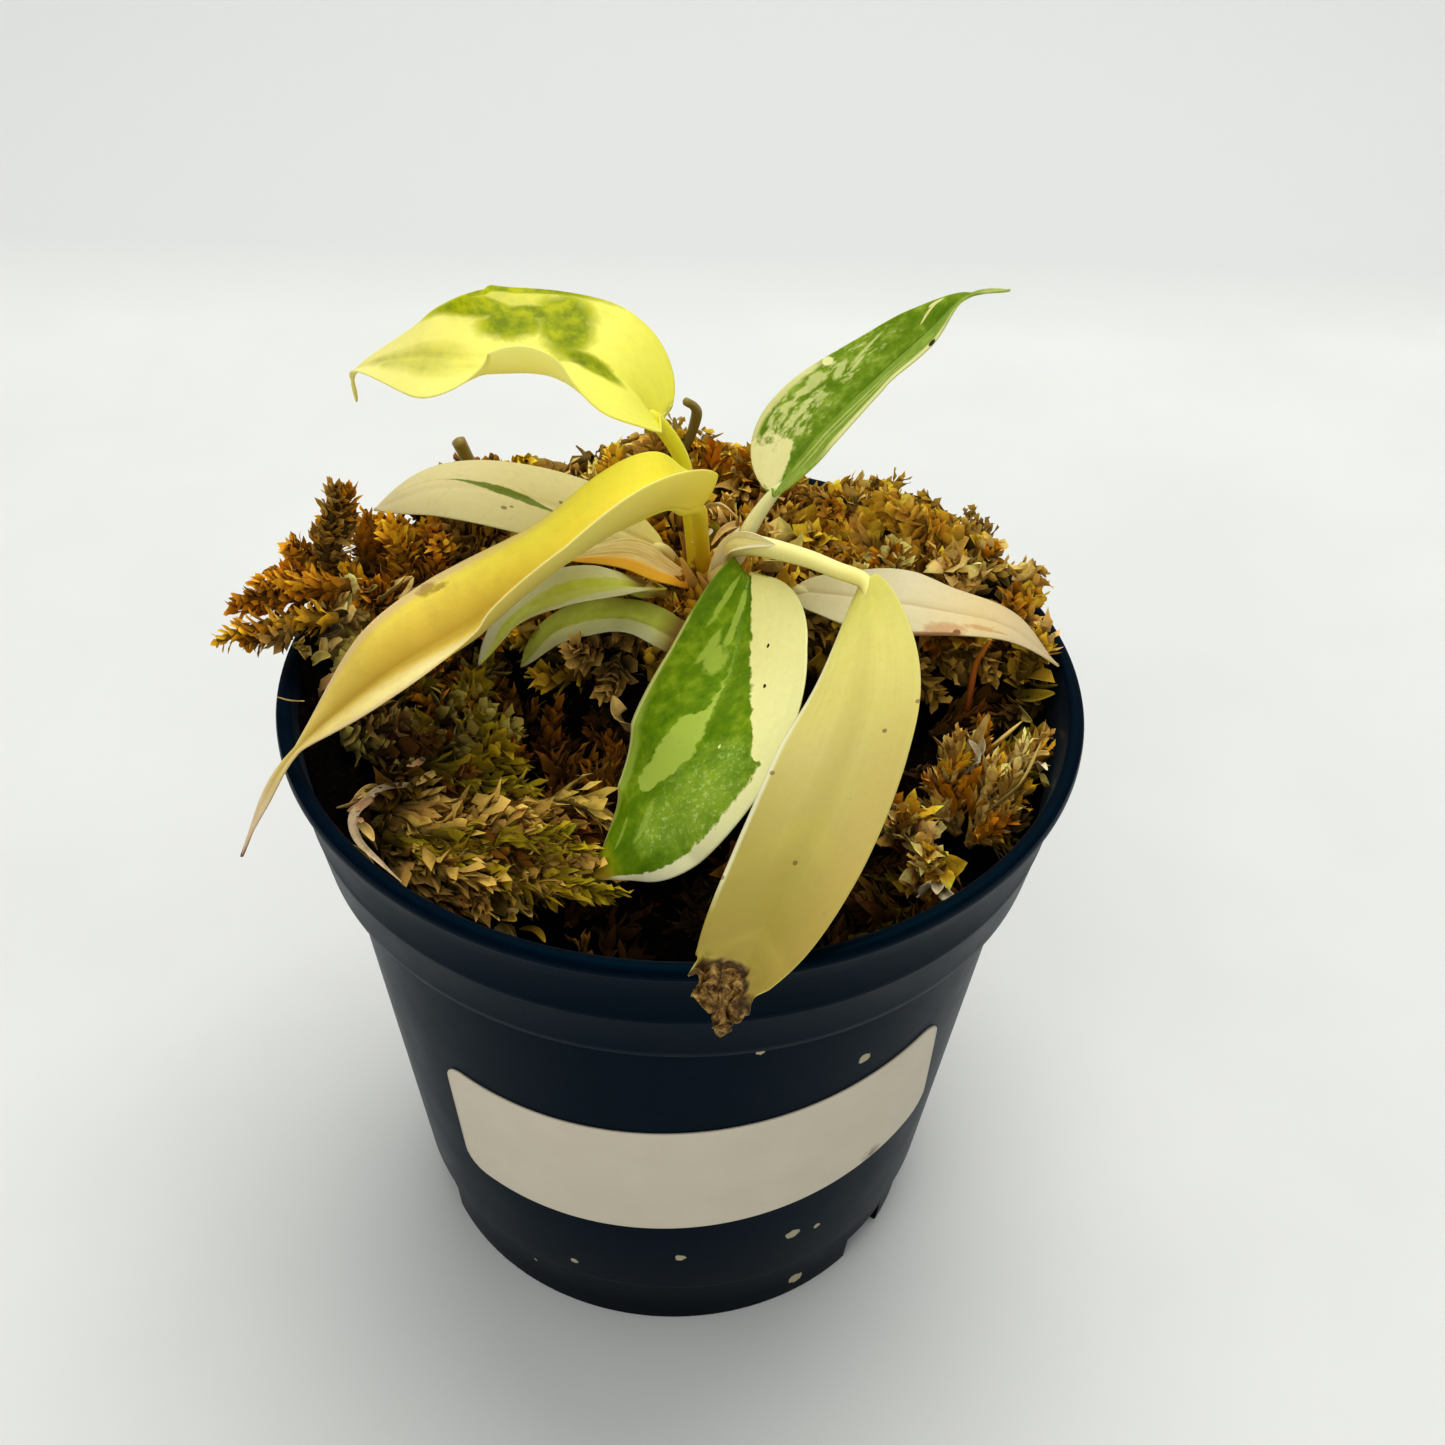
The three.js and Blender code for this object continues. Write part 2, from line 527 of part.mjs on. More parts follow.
// The stem, with the torn sheaths that old leaves left round its crown.
function stemSolid() {
  const [bx, by, bz] = STEM.base;
  const [tx, ty, tz] = STEM.top;
  const rows = [];
  for (let i = 0; i <= 5; i += 1) {
    const t = i / 5;
    const swell = 1 + 0.12 * Math.sin(9 * t);
    rows.push([lerp(bx, tx, t), lerp(by, ty, t), lerp(bz, tz, t), STEM.radius * swell * (1 - 0.25 * t)]);
  }
  const parts = [tubeSolid(rows, 6, STEM.sides)];
  const sheaths = [              // azimuth, root z, length, lean outwards, half width
    [80, 93, 12, 4, 1.8], [205, 91, 9, 6, 1.8], [245, 91, 8, 7, 1.7], [335, 92, 9, 7, 1.6],
    [25, 92, 11, 5, 1.7], [125, 93, 10, 5, 1.5],
  ];
  for (const [azimuth, rootZ, length, lean, half] of sheaths) {
    const a = radians(azimuth);
    const outward = [Math.cos(a), Math.sin(a)];
    const t = (rootZ - bz) / (tz - bz);
    const cx = lerp(bx, tx, t);
    const cy = lerp(by, ty, t);
    const ring = (away, rise, radius) => [
      cx + outward[0] * away, cy + outward[1] * away, rootZ + length * rise, radius,
    ];
    const reach = STEM.radius * 0.8;
    const rings = [
      ring(reach - 1, 0, half), ring(reach + lean * 0.4, 0.55, half * 0.8), ring(reach + lean, 1, 0.3),
    ];
    parts.push(tubeSolid(rings, 4, 5));
  }
  return joined(parts);
}

// Moss

function bedHeight(x, y) {
  const azimuth = radians(MOSS.bankAzimuth);
  const lean = (x * Math.cos(azimuth) + y * Math.sin(azimuth)) / MOSS.wallRadius;
  const inward = 1 - Math.min((x * x + y * y) / MOSS.wallRadius ** 2, 1);
  let z = MOSS.trench + MOSS.bank * smooth(-1, 0.45, lean) - MOSS.dish * inward;
  for (const [cx, cy, rise, spread] of MOSS.mounds) {
    z += rise * Math.exp(-((x - cx) ** 2 + (y - cy) ** 2) / spread ** 2);
  }
  return z;
}

function bedRelief(x, y) {
  return 1.2 * Math.sin(0.5 * x + 1.3) * Math.sin(0.55 * y + 0.4) + 0.8 * Math.sin(0.9 * x - 0.7 * y);
}

// The packed moss under the sprigs, as deep as the pot. It is cut to the pot's inside later.
function bedSolid(lift = 0) {
  const circle = (radius, height) => {
    const ring = [];
    for (let k = 0; k < POT.sides; k += 1) {
      const angle = 2 * Math.PI * k / POT.sides;
      const x = radius * Math.cos(angle);
      const y = radius * Math.sin(angle);
      ring.push([x, y, height(x, y)]);
    }
    return ring;
  };
  const surface = (x, y) => bedHeight(x, y) + bedRelief(x, y) + lift;
  const edge = POT.collarTopRadius - POT.wall - GAP;
  const rings = [circle(edge, () => -5)];
  for (let i = MOSS.rings; i > 0; i -= 1) rings.push(circle(edge * i / MOSS.rings, surface));
  return solidFrom(loft(rings, [0, 0, -5], [0, 0, surface(0, 0)]));
}

// Sprigs: [root x, y, z, tip x, y, z, radius]. Their scale leaves stand out as spikes.
const RUST_SPRIGS = [
  [-45.5, 16, 95, -46.5, 14, 115.5, 3], [-38, 19, 95, -41.5, 19, 108, 3.2],
  [-34, 22, 95, -37, 21.5, 106.5, 3], [-48, 6, 97, -61, 2, 101.5, 2.6],
  [-47, 10, 98, -58, 7, 103, 2.4], [-46, 12, 98, -54, 13, 106.5, 2.2],
  [-42, 12, 96, -44, 8, 106, 3], [-30, 28, 95, -31, 31, 103, 3.4],
  [-22, 38, 95, -20, 42, 102.5, 3.2], [-10, 42, 96, -10.5, 45, 107, 3.6],
  [-4, 42, 96, -4, 45.5, 105, 3], [4, 43, 96, 4.5, 46, 106, 3], [10, 42, 96, 9.5, 45, 107, 2.8],
  [16, 40, 96, 16, 42, 104, 3.4], [22, 37, 96, 22.5, 40, 104, 3.2], [27, 34, 96, 28, 36.5, 107, 2.2],
  [31, 31, 95, 33, 33, 105.5, 3], [35, 27, 95, 37, 29, 109, 2.6], [40, 22, 95, 45, 22.5, 106, 2.6],
  [43, 16, 94, 48, 13, 106, 3.2], [46, 9, 93, 51, 6, 104, 3], [28, 24, 94, 30, 22, 103, 3.4],
  [18, 30, 94, 20, 27, 102, 3.2], [36, 16, 93, 38, 13, 98, 3], [-14, 32, 95, -16, 29, 101, 3.2],
  [-26, 14, 92, -27, 10, 98, 3], [12, 34, 95, 9, 30, 102, 3.2], [-46, 0, 92, -48, -3, 97.5, 2.6],
  [24, -2, 84, 27, -8, 89, 2.8], [8, -20, 79, 10, -27, 84, 2.8], [28, -14, 82, 31, -20, 86, 2.6],
  [14, -34, 76, 17, -40, 80, 2.4], [32, -22, 78, 33, -26, 87, 2.2],
];
const OLIVE_SPRIGS = [
  [-31, 2, 85, -27, -4, 91, 2.8], [-33, -2, 85, -37, -8, 90, 2.6], [-30, -4, 84, -24, -9, 89, 2.6],
  [-34, 3, 86, -40, 2, 92, 2.8], [-29, -6, 83, -31, -13, 87, 2.4], [-27, 1, 84, -21, 2, 89, 2.2],
];
const STRAW_SPRIGS = [
  [-38, -18, 83, -12, -28, 86, 3], [-36, -22, 82, -10, -32, 85, 2.8], [-30, -17, 83, -15, -21, 88, 2.6],
  [-37, -20, 84, -20, -33, 84, 2.6], [-34, -15, 84, -24, -14, 91, 2.4], [-28, -24, 83, -8, -27, 84, 2.6],
  [-37, -24, 82, -30, -34, 84, 2.2], [-38, -17, 85, -42, -22, 90, 1.8], [-36, -21, 84, -39, -27, 88, 1.8],
];
const BUFF_SPRIGS = [
  [41, -8, 84, 36, -12, 92, 3], [42, -9, 84, 43, -15, 94, 2.8], [44, -5, 85, 48, -8, 95, 2.4],
  [40, -5, 84, 39, -4, 92, 2.6], [43, -7, 85, 40, -18, 90, 1.8], [45, -9, 84, 47, -15, 91, 2],
  [38, -7, 84, 33, -8, 89, 2.6],
];

function sprigSolid([rx, ry, rz, tx, ty, tz, radius], random) {
  const bow = 0.12 * Math.hypot(tx - rx, ty - ry, tz - rz);
  const side = [bow * (random() - 0.5), bow * (random() - 0.5), bow * (random() - 0.2)];
  const middle = [(rx + tx) / 2 + side[0], (ry + ty) / 2 + side[1], (rz + tz) / 2 + side[2]];
  const rows = [[rx, ry, rz, radius * 0.55], [...middle, radius * 0.62], [tx, ty, tz, radius * 0.18]];
  const length = Math.hypot(tx - rx, ty - ry, tz - rz);
  return tubeSolid(rows, Math.max(4, Math.round(length / 3.6)), 6, { reach: 1.75, lean: 0.9 });
}

// A clump is its sprigs on a small flattened core, cut off above the packed moss.
function clumpSolid(sprigs, core, random) {
  const lump = new THREE.SphereGeometry(1, 10, 6);
  lump.scale(core.size[0], core.size[1], core.size[2]);
  lump.rotateZ(radians(core.turn));
  lump.translate(...core.place);
  return joined([solidFrom(lump), ...sprigs.map((sprig) => sprigSolid(sprig, random))]);
}

// The two cut or broken twigs that stand in the moss behind the leaves.
const TWIGS = {
  twig_stub: [[-29, 39.5, 91, 1.1], [-31.5, 40.5, 100, 1.1], [-34.2, 40, 108, 1.1]],
  twig_curved: [[-3, 43, 91, 1], [-1.8, 43.5, 103, 0.95], [1.2, 44, 111, 0.85], [-0.4, 42, 114.5, 0.6]],
};

// Assembly

const plant = new THREE.Group();

function addPiece(name, solid, material) {
  const mesh = new THREE.Mesh(geometryOf(solid), material);
  mesh.name = name;
  plant.add(mesh);
}

const random = randomStream(MOSS.seed);
const leaves = Object.entries(LEAVES);
const twigs = Object.entries(TWIGS);

addPiece('pot', potSolid(), FINISH.potPlastic);
addPiece('label', labelSolid(), FINISH.labelPaper);
for (const [name, leaf] of leaves) addPiece(name, leafSolid(leaf), leaf.finish);
for (const [name, rows] of twigs) addPiece(name, tubeSolid(rows, 6, 7), FINISH.twigBark);

// What each softer piece keeps clear of: leaves and petioles grown by the gap.
const leafRoom = joined(leaves.map(([, leaf]) => leafSolid(leaf, GAP + 0.05)));
const twigRoom = joined(twigs.map(([, rows]) => tubeSolid(thicker(rows, 2.5 * GAP), 6, 7)));
const stem = largestBody(stemSolid().subtract(leafRoom));
addPiece('stem', stem, FINISH.stemBrown);

// A plain hole for the stem, opening out round the crown.
function stemRoom() {
  const outline = [[0, 60], [4.9, 60], [4.9, 87], [8, 92], [13, 108], [0, 108]];
  const lathe = new THREE.LatheGeometry(outline.map(([r, z]) => new THREE.Vector2(r, z)), 16);
  lathe.rotateX(Math.PI / 2);
  lathe.translate(3.3, 18.9, 0);
  return solidFrom(lathe);
}

const room = mossRoom();
const clear = leafRoom.add(twigRoom);
const raisedBed = bedSolid(1.6 * GAP);

const clumps = {
  moss_olive: [OLIVE_SPRIGS, { place: [-31, -1, 85], size: [6, 6, 4], turn: 0 }, FINISH.mossOlive],
  moss_straw: [STRAW_SPRIGS, { place: [-28, -22, 82], size: [13, 6.5, 4.5], turn: -25 }, FINISH.mossStraw],
  moss_buff: [BUFF_SPRIGS, { place: [41.5, -8, 84.5], size: [5, 6, 4.5], turn: 0 }, FINISH.mossBuff],
};
for (const [name, [sprigs, core, material]] of Object.entries(clumps)) {
  const solid = clumpSolid(sprigs, core, random).intersect(room).subtract(raisedBed).subtract(clear);
  addPiece(name, largestBody(solid), material);
}

const rust = joined([bedSolid(), ...RUST_SPRIGS.map((sprig) => sprigSolid(sprig, random))]);
addPiece('moss_bed', largestBody(rust.intersect(room).subtract(clear).subtract(stemRoom())), FINISH.mossRust);

export default plant;
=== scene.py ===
# %% [markdown]
# # A young variegated philodendron in a nursery pot
#
# The real object is a small climbing plant with nine narrow, folded leaves, set in dead sphagnum
# moss in a thin round plastic pot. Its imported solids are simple, so each one is replaced here by
# a finer piece in the same place. Lengths are in millimetres until a mesh is made, because the
# plant was measured in them.
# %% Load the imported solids
import math
import bpy
import numpy as np
from mathutils import Matrix, Vector
from mathutils.bvhtree import BVHTree


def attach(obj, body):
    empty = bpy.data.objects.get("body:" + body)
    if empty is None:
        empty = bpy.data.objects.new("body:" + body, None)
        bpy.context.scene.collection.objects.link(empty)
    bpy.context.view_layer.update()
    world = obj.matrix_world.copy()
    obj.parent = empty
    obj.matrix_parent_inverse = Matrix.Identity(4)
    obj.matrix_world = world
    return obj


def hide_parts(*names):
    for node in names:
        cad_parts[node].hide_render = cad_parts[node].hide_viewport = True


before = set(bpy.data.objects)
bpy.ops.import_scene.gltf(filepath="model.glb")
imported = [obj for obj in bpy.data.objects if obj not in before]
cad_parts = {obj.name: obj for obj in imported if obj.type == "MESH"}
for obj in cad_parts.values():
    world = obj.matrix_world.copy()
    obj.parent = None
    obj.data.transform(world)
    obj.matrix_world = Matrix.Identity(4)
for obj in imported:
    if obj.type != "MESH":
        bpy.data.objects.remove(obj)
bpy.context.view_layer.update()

# %% [markdown]
# The camera comes first, because the small things on the plant were placed by where they show in
# the picture. Euler angles could turn it, but its three axes are worked out here instead, so that
# the yaw, the downward pitch and the slight roll stay apart.
# %% Camera
yaw, pitch, roll = (math.radians(angle) for angle in (1.599, 39.93, 2.231))
focal_length, picture_width = 1900, 1445
ahead = Vector((math.sin(yaw) * math.cos(pitch), math.cos(yaw) * math.cos(pitch), -math.sin(pitch)))
level = ahead.cross(Vector((0, 0, 1))).normalized()
upright = level.cross(ahead)
right = level * math.cos(roll) + upright * math.sin(roll)
up = upright * math.cos(roll) - level * math.sin(roll)

camera = bpy.data.objects.new("camera", bpy.data.cameras.new("camera"))
bpy.context.scene.collection.objects.link(camera)
bpy.context.scene.camera = camera
camera.data.sensor_width = 36
camera.data.lens = 36 * focal_length / picture_width
camera.data.clip_start, camera.data.clip_end = 0.01, 20
stand = Matrix.Translation((0, -0.20453, 0.25903))
camera.matrix_world = stand @ Matrix((right, up, -ahead)).transposed().to_4x4()
print("camera looks along", tuple(round(part, 3) for part in ahead))

# %% [markdown]
# Every piece is built as points and faces in numpy, which is quick even for moss of half a
# million faces. Two kinds of skin turn up again and again: rings gathered at both ends, and two
# sheets joined round their edge. A shape also carries numbers for each point, such as how far
# along a leaf it lies, and the finishes read them as attributes. That places a marking on a
# curved leaf better than a projected texture would.
# %% Shapes
class Shape:
    """Points in millimetres, faces of three or four corners, and marks that each point carries."""

    def __init__(self, points, faces, **marks):
        self.points = np.asarray(points, float).reshape(-1, 3)
        self.faces = [np.asarray(group, int) for group in faces if len(group)]
        self.marks = marks


def together(shapes):
    """One shape of several that carry the same marks."""
    starts = np.cumsum([0] + [len(shape.points) for shape in shapes])
    faces = [group + start for shape, start in zip(shapes, starts) for group in shape.faces]
    marks = {name: np.concatenate([shape.marks[name] for shape in shapes])
             for name in shapes[0].marks}
    return Shape(np.concatenate([shape.points for shape in shapes]), faces, **marks)


def weave(rows, columns, round_trip=False):
    """The faces between rows of points. A round trip also joins the last column to the first."""
    across = columns if round_trip else columns - 1
    i, j = np.meshgrid(np.arange(rows - 1), np.arange(across), indexing="ij")
    k = (j + 1) % columns
    corners = (i * columns + j, i * columns + k, (i + 1) * columns + k, (i + 1) * columns + j)
    return np.stack(corners, -1).reshape(-1, 4)


def gathered(rings, first, last, **marks):
    """The skin round rings of points, gathered to one point at each end."""
    rows, sides = len(rings), len(rings[0])
    count, k = rows * sides, np.arange(sides)
    ahead = (k + 1) % sides
    fans = [np.stack([np.full(sides, count), ahead, k], -1),
            np.stack([np.full(sides, count + 1), count - sides + k, count - sides + ahead], -1)]
    return Shape(np.concatenate([*rings, [first, last]]), [weave(rows, sides, True), *fans], **marks)


def two_sided(front, back, **marks):
    """Two sheets of points, joined round their edge."""
    rows, columns = front.shape[:2]
    count = rows * columns
    index = np.arange(count).reshape(rows, columns)
    rim = np.concatenate([index[0], index[1:, -1], index[-1, -2::-1], index[-2:0:-1, 0]])
    edge = np.stack([np.roll(rim, -1), rim, rim + count, np.roll(rim, -1) + count], -1)
    faces = weave(rows, columns)
    points = np.concatenate([front.reshape(-1, 3), back.reshape(-1, 3)])
    return Shape(points, [faces, faces[:, ::-1] + count, edge], **marks)


def unit(vectors):
    return vectors / np.maximum(np.linalg.norm(vectors, axis=-1, keepdims=True), 1e-9)


print("a 3 by 4 weave has", len(weave(3, 4)), "faces")

# %% [markdown]
# A piece is the Blender object made from a shape. It rides on the object's one body and hides the
# imported solids that it stands for.
# %% Pieces
def put(name, shape, finish):
    """A smooth Blender object made from a shape."""
    mesh = bpy.data.meshes.new(name)
    mesh.vertices.add(len(shape.points))
    mesh.vertices.foreach_set("co", (shape.points / 1000).ravel())
    sides = np.concatenate([np.full(len(group), group.shape[1]) for group in shape.faces])
    mesh.loops.add(int(sides.sum()))
    mesh.loops.foreach_set("vertex_index", np.concatenate([group.ravel() for group in shape.faces]))
    mesh.polygons.add(len(sides))
    mesh.polygons.foreach_set("loop_start", np.cumsum(sides) - sides)
    mesh.update(calc_edges=True)
    mesh.polygons.foreach_set("use_smooth", np.full(len(sides), True))
    for mark, values in shape.marks.items():
        kind, field = ("FLOAT", "value") if values.ndim == 1 else ("FLOAT_VECTOR", "vector")
        mesh.attributes.new(mark, kind, "POINT").data.foreach_set(field, values.ravel())
    mesh.validate()
    mesh.materials.append(finish.material)
    made = bpy.data.objects.new(name, mesh)
    bpy.context.scene.collection.objects.link(made)
    print(name, len(mesh.polygons), "faces")
    return made


def piece(name, shape, finish, slot, *nodes):
    """A piece of the object that stands for the named solids."""
    made = put(name, shape, finish)
    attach(made, "root")
    if nodes:
        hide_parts(*nodes)
    return made


# %% [markdown]
# Patterns on leaves and plastic are arithmetic on a few coordinates. Node graphs for that are
# hard to read as wires, so a wire is wrapped in a small class: adding or multiplying wires adds
# the Math nodes. Colours go through Mix nodes, as a Math node would turn them grey.
# %% Finishes as arithmetic
class Wire:
    """The output of a node. Arithmetic on it adds Math nodes."""

    def __init__(self, finish, socket):
        self.finish, self.socket = finish, socket

    def reckon(self, operation, first, second=0.0, clamp=False):
        settings = {"operation": operation, "use_clamp": clamp}
        return self.finish.add("Math", settings, {0: first, 1: second})

    def __add__(self, other):
        return self.reckon("ADD", self, other)

    def __sub__(self, other):
        return self.reckon("SUBTRACT", self, other)

    def __rsub__(self, other):
        return self.reckon("SUBTRACT", other, self)

    def __mul__(self, other):
        return self.reckon("MULTIPLY", self, other)

    def __truediv__(self, other):
        return self.reckon("DIVIDE", self, other)

    def __rtruediv__(self, other):
        return self.reckon("DIVIDE", other, self)

    def __pow__(self, other):
        return self.reckon("POWER", self, other)

    __radd__, __rmul__ = __add__, __mul__

    def size(self):
        """The number without its sign."""
        return self.reckon("ABSOLUTE", self)

    def most(self, other):
        return self.reckon("MAXIMUM", self, other)

    def held(self):
        """The number kept between 0 and 1."""
        return self.reckon("ADD", self, clamp=True)

    def step(self, soft):
        """0 below zero and 1 above it, with an edge as wide as soft."""
        return (self / soft + 0.5).held()


def light(colour):
    """The light of a screen colour of 0 to 255. Numbers up to 1 are light already."""
    if max(colour) <= 1:
        return colour
    parts = (part / 255 for part in colour)
    return [part / 12.92 if part <= 0.04045 else ((part + 0.055) / 1.055) ** 2.4 for part in parts]


class Finish:
    """A procedural material: one surface shader and the nodes that feed it."""

    def __init__(self, name, **constants):
        self.material = bpy.data.materials.new(name)
        self.material.use_nodes = True
        self.nodes = self.material.node_tree.nodes
        self.shader = self.nodes["Principled BSDF"]
        for socket, value in constants.items():
            self.wear(socket.replace("_", " "), value)

    def feed(self, socket, value):
        if isinstance(value, Wire):
            self.material.node_tree.links.new(value.socket, socket)
        elif socket.type == "RGBA":
            socket.default_value = (*light(value), 1)
        else:
            socket.default_value = value

    def wear(self, socket, value):
        """Feeds one of the surface shader's sockets."""
        self.feed(self.shader.inputs[socket], value)

    def add(self, kind, settings=None, sockets=None, out=0):
        """A node of a kind, with its settings made first and then its sockets fed."""
        node = self.nodes.new("ShaderNode" + kind)
        for setting, value in (settings or {}).items():
            setattr(node, setting, value)
        for socket, value in (sockets or {}).items():
            self.feed(node.inputs[socket], value)
        return Wire(self, node.outputs[out])

    def place(self):
        """Where a point lies on the object, in millimetres."""
        metres = self.add("TexCoord", out="Object")
        return self.add("VectorMath", {"operation": "SCALE"}, {0: metres, "Scale": 1000})

    def mark(self, name, out="Fac"):
        """A number or a colour that each point of the shape carries."""
        return self.add("Attribute", {"attribute_name": name}, out=out)

    def vector(self, x, y, z=0.0):
        return self.add("CombineXYZ", {}, {0: x, 1: y, 2: z})

    def axis(self, vector, which):
        return self.add("SeparateXYZ", {}, {0: vector}, out=which)

    def distance(self, first, second):
        return self.add("VectorMath", {"operation": "DISTANCE"}, {0: first, 1: second}, out="Value")

    def noise(self, place, scale, detail=2.0, rough=0.5):
        sockets = {"Vector": place, "Scale": scale, "Detail": detail, "Roughness": rough}
        return self.add("TexNoise", {}, sockets)

    def blend(self, mask, first, second):
        """The first colour where the mask is 0, and the second where it is 1."""
        return self.add("Mix", {"data_type": "RGBA"}, {0: mask, 6: first, 7: second}, out=2)

    def shades(self, wire, *stops):
        """A colour or a number that changes along a wire through (place, value) stops."""
        made = self.add("ValToRGB", {}, {0: wire})
        elements = made.socket.node.color_ramp.elements
        for _ in stops[2:]:
            elements.new(1)
        for element, (place, shade) in zip(elements, stops):
            element.position = place
            element.color = (*(light(shade) if isinstance(shade, tuple) else (shade,) * 3), 1)
        return made

    def follow(self, wire, rows):
        """A number that runs in straight lines through rows of (position, value)."""
        first, last = rows[0][0], rows[-1][0]
        low = min(value for _, value in rows)
        span = max(value for _, value in rows) - low
        stops = [((at - first) / (last - first), (value - low) / span) for at, value in rows]
        return self.shades((wire - first) / (last - first), *stops) * span + low

    def bump(self, height, depth, strength=1.0):
        """Relief from a height between 0 and 1, as deep as depth in millimetres."""
        sockets = {"Strength": strength, "Distance": depth / 1000, "Height": height}
        self.wear("Normal", self.add("Bump", {}, sockets))


print("light of a mid grey:", light((128, 128, 128)))

# %% [markdown]
# The plant stands on a plain pale table in soft light from above. A sheet that curves up behind
# the pot, as in a photographer's cove, has no hard horizon. It is drawn in metres. Where the sheet
# rises behind the pot its colour is a little darker: painted shade.
# %% Floor and light
half_wide, wall_at, bend = 1.6, 0.62, 0.5
run = [(-1.2 + 0.05 * k, 0.0) for k in range(37)]
run += [(wall_at + bend * math.sin(a), bend - bend * math.cos(a)) for a in np.linspace(0, 1.45, 24)]
run += [(wall_at + bend + 0.1, 2.0)]
sheet = 1000 * np.array([(x, y, z) for y, z in run for x in (-half_wide, 0, half_wide)])
table = Finish("pale_table", Roughness=0.55, Specular_IOR_Level=0.25)
where = table.place()
pale = table.blend(table.noise(where, 0.02, 3), (220, 221, 217), (230, 231, 227))
# Darker colour where the sheet rises behind the pot: painted shade on the backdrop.
behind = ((table.axis(where, 1) - 275) / 50).held()
table.wear("Base Color", table.blend(behind, pale, (214, 215, 213)))
floor = put("floor", Shape(sheet, [weave(len(run), 3)]), table)


def softbox(name, place, target, size, watts, colour):
    lamp = bpy.data.lights.new(name, "AREA")
    lamp.shape, lamp.size, lamp.energy, lamp.color = "DISK", size, watts, colour
    made = bpy.data.objects.new(name, lamp)
    made.location = place
    made.rotation_euler = (Vector(target) - Vector(place)).to_track_quat("-Z", "Y").to_euler()
    bpy.context.scene.collection.objects.link(made)


softbox("light_above", (0.1, 0.45, 1.2), (0, 0, 0.05), 1.1, 8.6, (1.0, 0.985, 0.955))
softbox("light_front", (-0.5, -0.9, 0.9), (0, 0, 0.08), 0.8, 2.6, (1.0, 0.99, 0.97))
sky = bpy.data.worlds.new("soft_sky")
sky.use_nodes = True
sky.node_tree.nodes["Background"].inputs["Color"].default_value = (0.95, 0.97, 1.0, 1)
sky.node_tree.nodes["Background"].inputs["Strength"].default_value = 0.50
bpy.context.scene.world = sky
bpy.context.scene.view_settings.view_transform = "Standard"
bpy.context.scene.view_settings.look = "Medium High Contrast"

# %% [markdown]
# The pot is a thin moulded cup: a foot ring with drain notches, a tapered body, a step out to a
# collar, and a small rolled lip. Turning its profile about the axis gives all of that, so the
# profile is drawn once, outside and inside, and the notches and drain holes are cut afterwards.
# %% Pot shape
outside = [(0, 0), (10, 0), (10.3, 0.4), (10.8, 1.2), (35.8, 1.2), (36.2, 0.8), (36.5, 0.15),
           (37, 0), (38.2, 0), (38.6, 0.3), (38.9, 3), (39.55, 10), (39.8, 10.6), (40.5, 10.9),
           (40.65, 11.4), (42.6, 27), (44.6, 43), (46.6, 59), (48.3, 73), (48.65, 75), (48.95, 75.7),
           (49.8, 75.95), (50.6, 76), (51.0, 76.35), (51.2, 77.4), (52.35, 84), (52.5, 84.3),
           (52.45, 84.8), (53.6, 91), (54.1, 93.6), (54.3, 94.0), (54.85, 94.2), (55, 94.5),
           (55, 95.3), (54.85, 95.75), (54.4, 96), (53.6, 96), (53.1, 95.85), (52.85, 95.5)]
inside = [(52.4, 93), (51.2, 86), (49.7, 76.8), (49.4, 76.1), (48.6, 75.7), (47.5, 75.5),
          (47.15, 75), (45.2, 59), (43.2, 43), (41.2, 27), (39.4, 12.5), (39.1, 11.2), (38.6, 8),
          (37.6, 3), (37.0, 2.5), (36, 2.4), (20, 2.4), (0, 2.4)]


def ring(radius, sides, centre=(0, 0)):
    return [(centre[0] + radius * math.cos(a), centre[1] + radius * math.sin(a))
            for a in np.linspace(0, 2 * np.pi, sides, endpoint=False)]


pot_rings = [[(x, y, z) for x, y in ring(radius, 224)] for radius, z in outside[1:] + inside[:-1]]
pot_shape = gathered(pot_rings, (0, 0, outside[0][1]), (0, 0, inside[-1][1]))
print("pot points:", len(pot_shape.points))

# %% [markdown]
# The plastic is a very dark blue, moulded with a fine satin grain that shows as a soft grey sheen
# on the collar. Handling leaves pale dust, a few dried specks of moss and thin scratches that run
# round it. Noise stretched along the height makes the scratches. Low down the blue darkens towards
# black, which is painted shade near the table.
# %% Pot finish
plastic = Finish("dark_blue_plastic", Specular_IOR_Level=0.035, Specular_Tint=(0.0, 0.9, 1.0),
                 Sheen_Weight=0.05, Sheen_Roughness=0.45, Sheen_Tint=(0.75, 0.92, 1.0))
where = plastic.place()
dust = plastic.noise(where, 0.16, 6, 0.65)
stretched = plastic.add("VectorMath", {"operation": "MULTIPLY"}, {0: where, 1: (0.15, 0.15, 2.4)})
scuff = plastic.noise(stretched, 1.0, 3, 0.6)
crumbs = [((10.8, -46.9, 73), .6), ((25.1, -39.7, 63.6), 1.0), ((17.9, -37.7, 21.2), 1.1),
          ((21.6, -35.6, 20.3), .6), ((19.7, -34.3, 3.9), 1.3), ((1.4, -41.6, 20.5), .8),
          ((-21.1, -33.9, 7.1), .7), ((-24.7, -31.1, 5), .5), ((-14.3, -38.3, 14.5), .6)]
ragged = plastic.noise(where, 1.2, 3, 0.7)
specks = 0 * dust
for spot, size in crumbs:
    specks = specks.most((size * (0.5 + ragged) - plastic.distance(where, spot)).step(0.15))
film = ((dust - 0.5) * 2.0).held() * 0.35 + ((scuff - 0.62) * 4).held() * 0.2
deep = plastic.blend(film.held(), (0, 12, 28), (0, 32, 48))
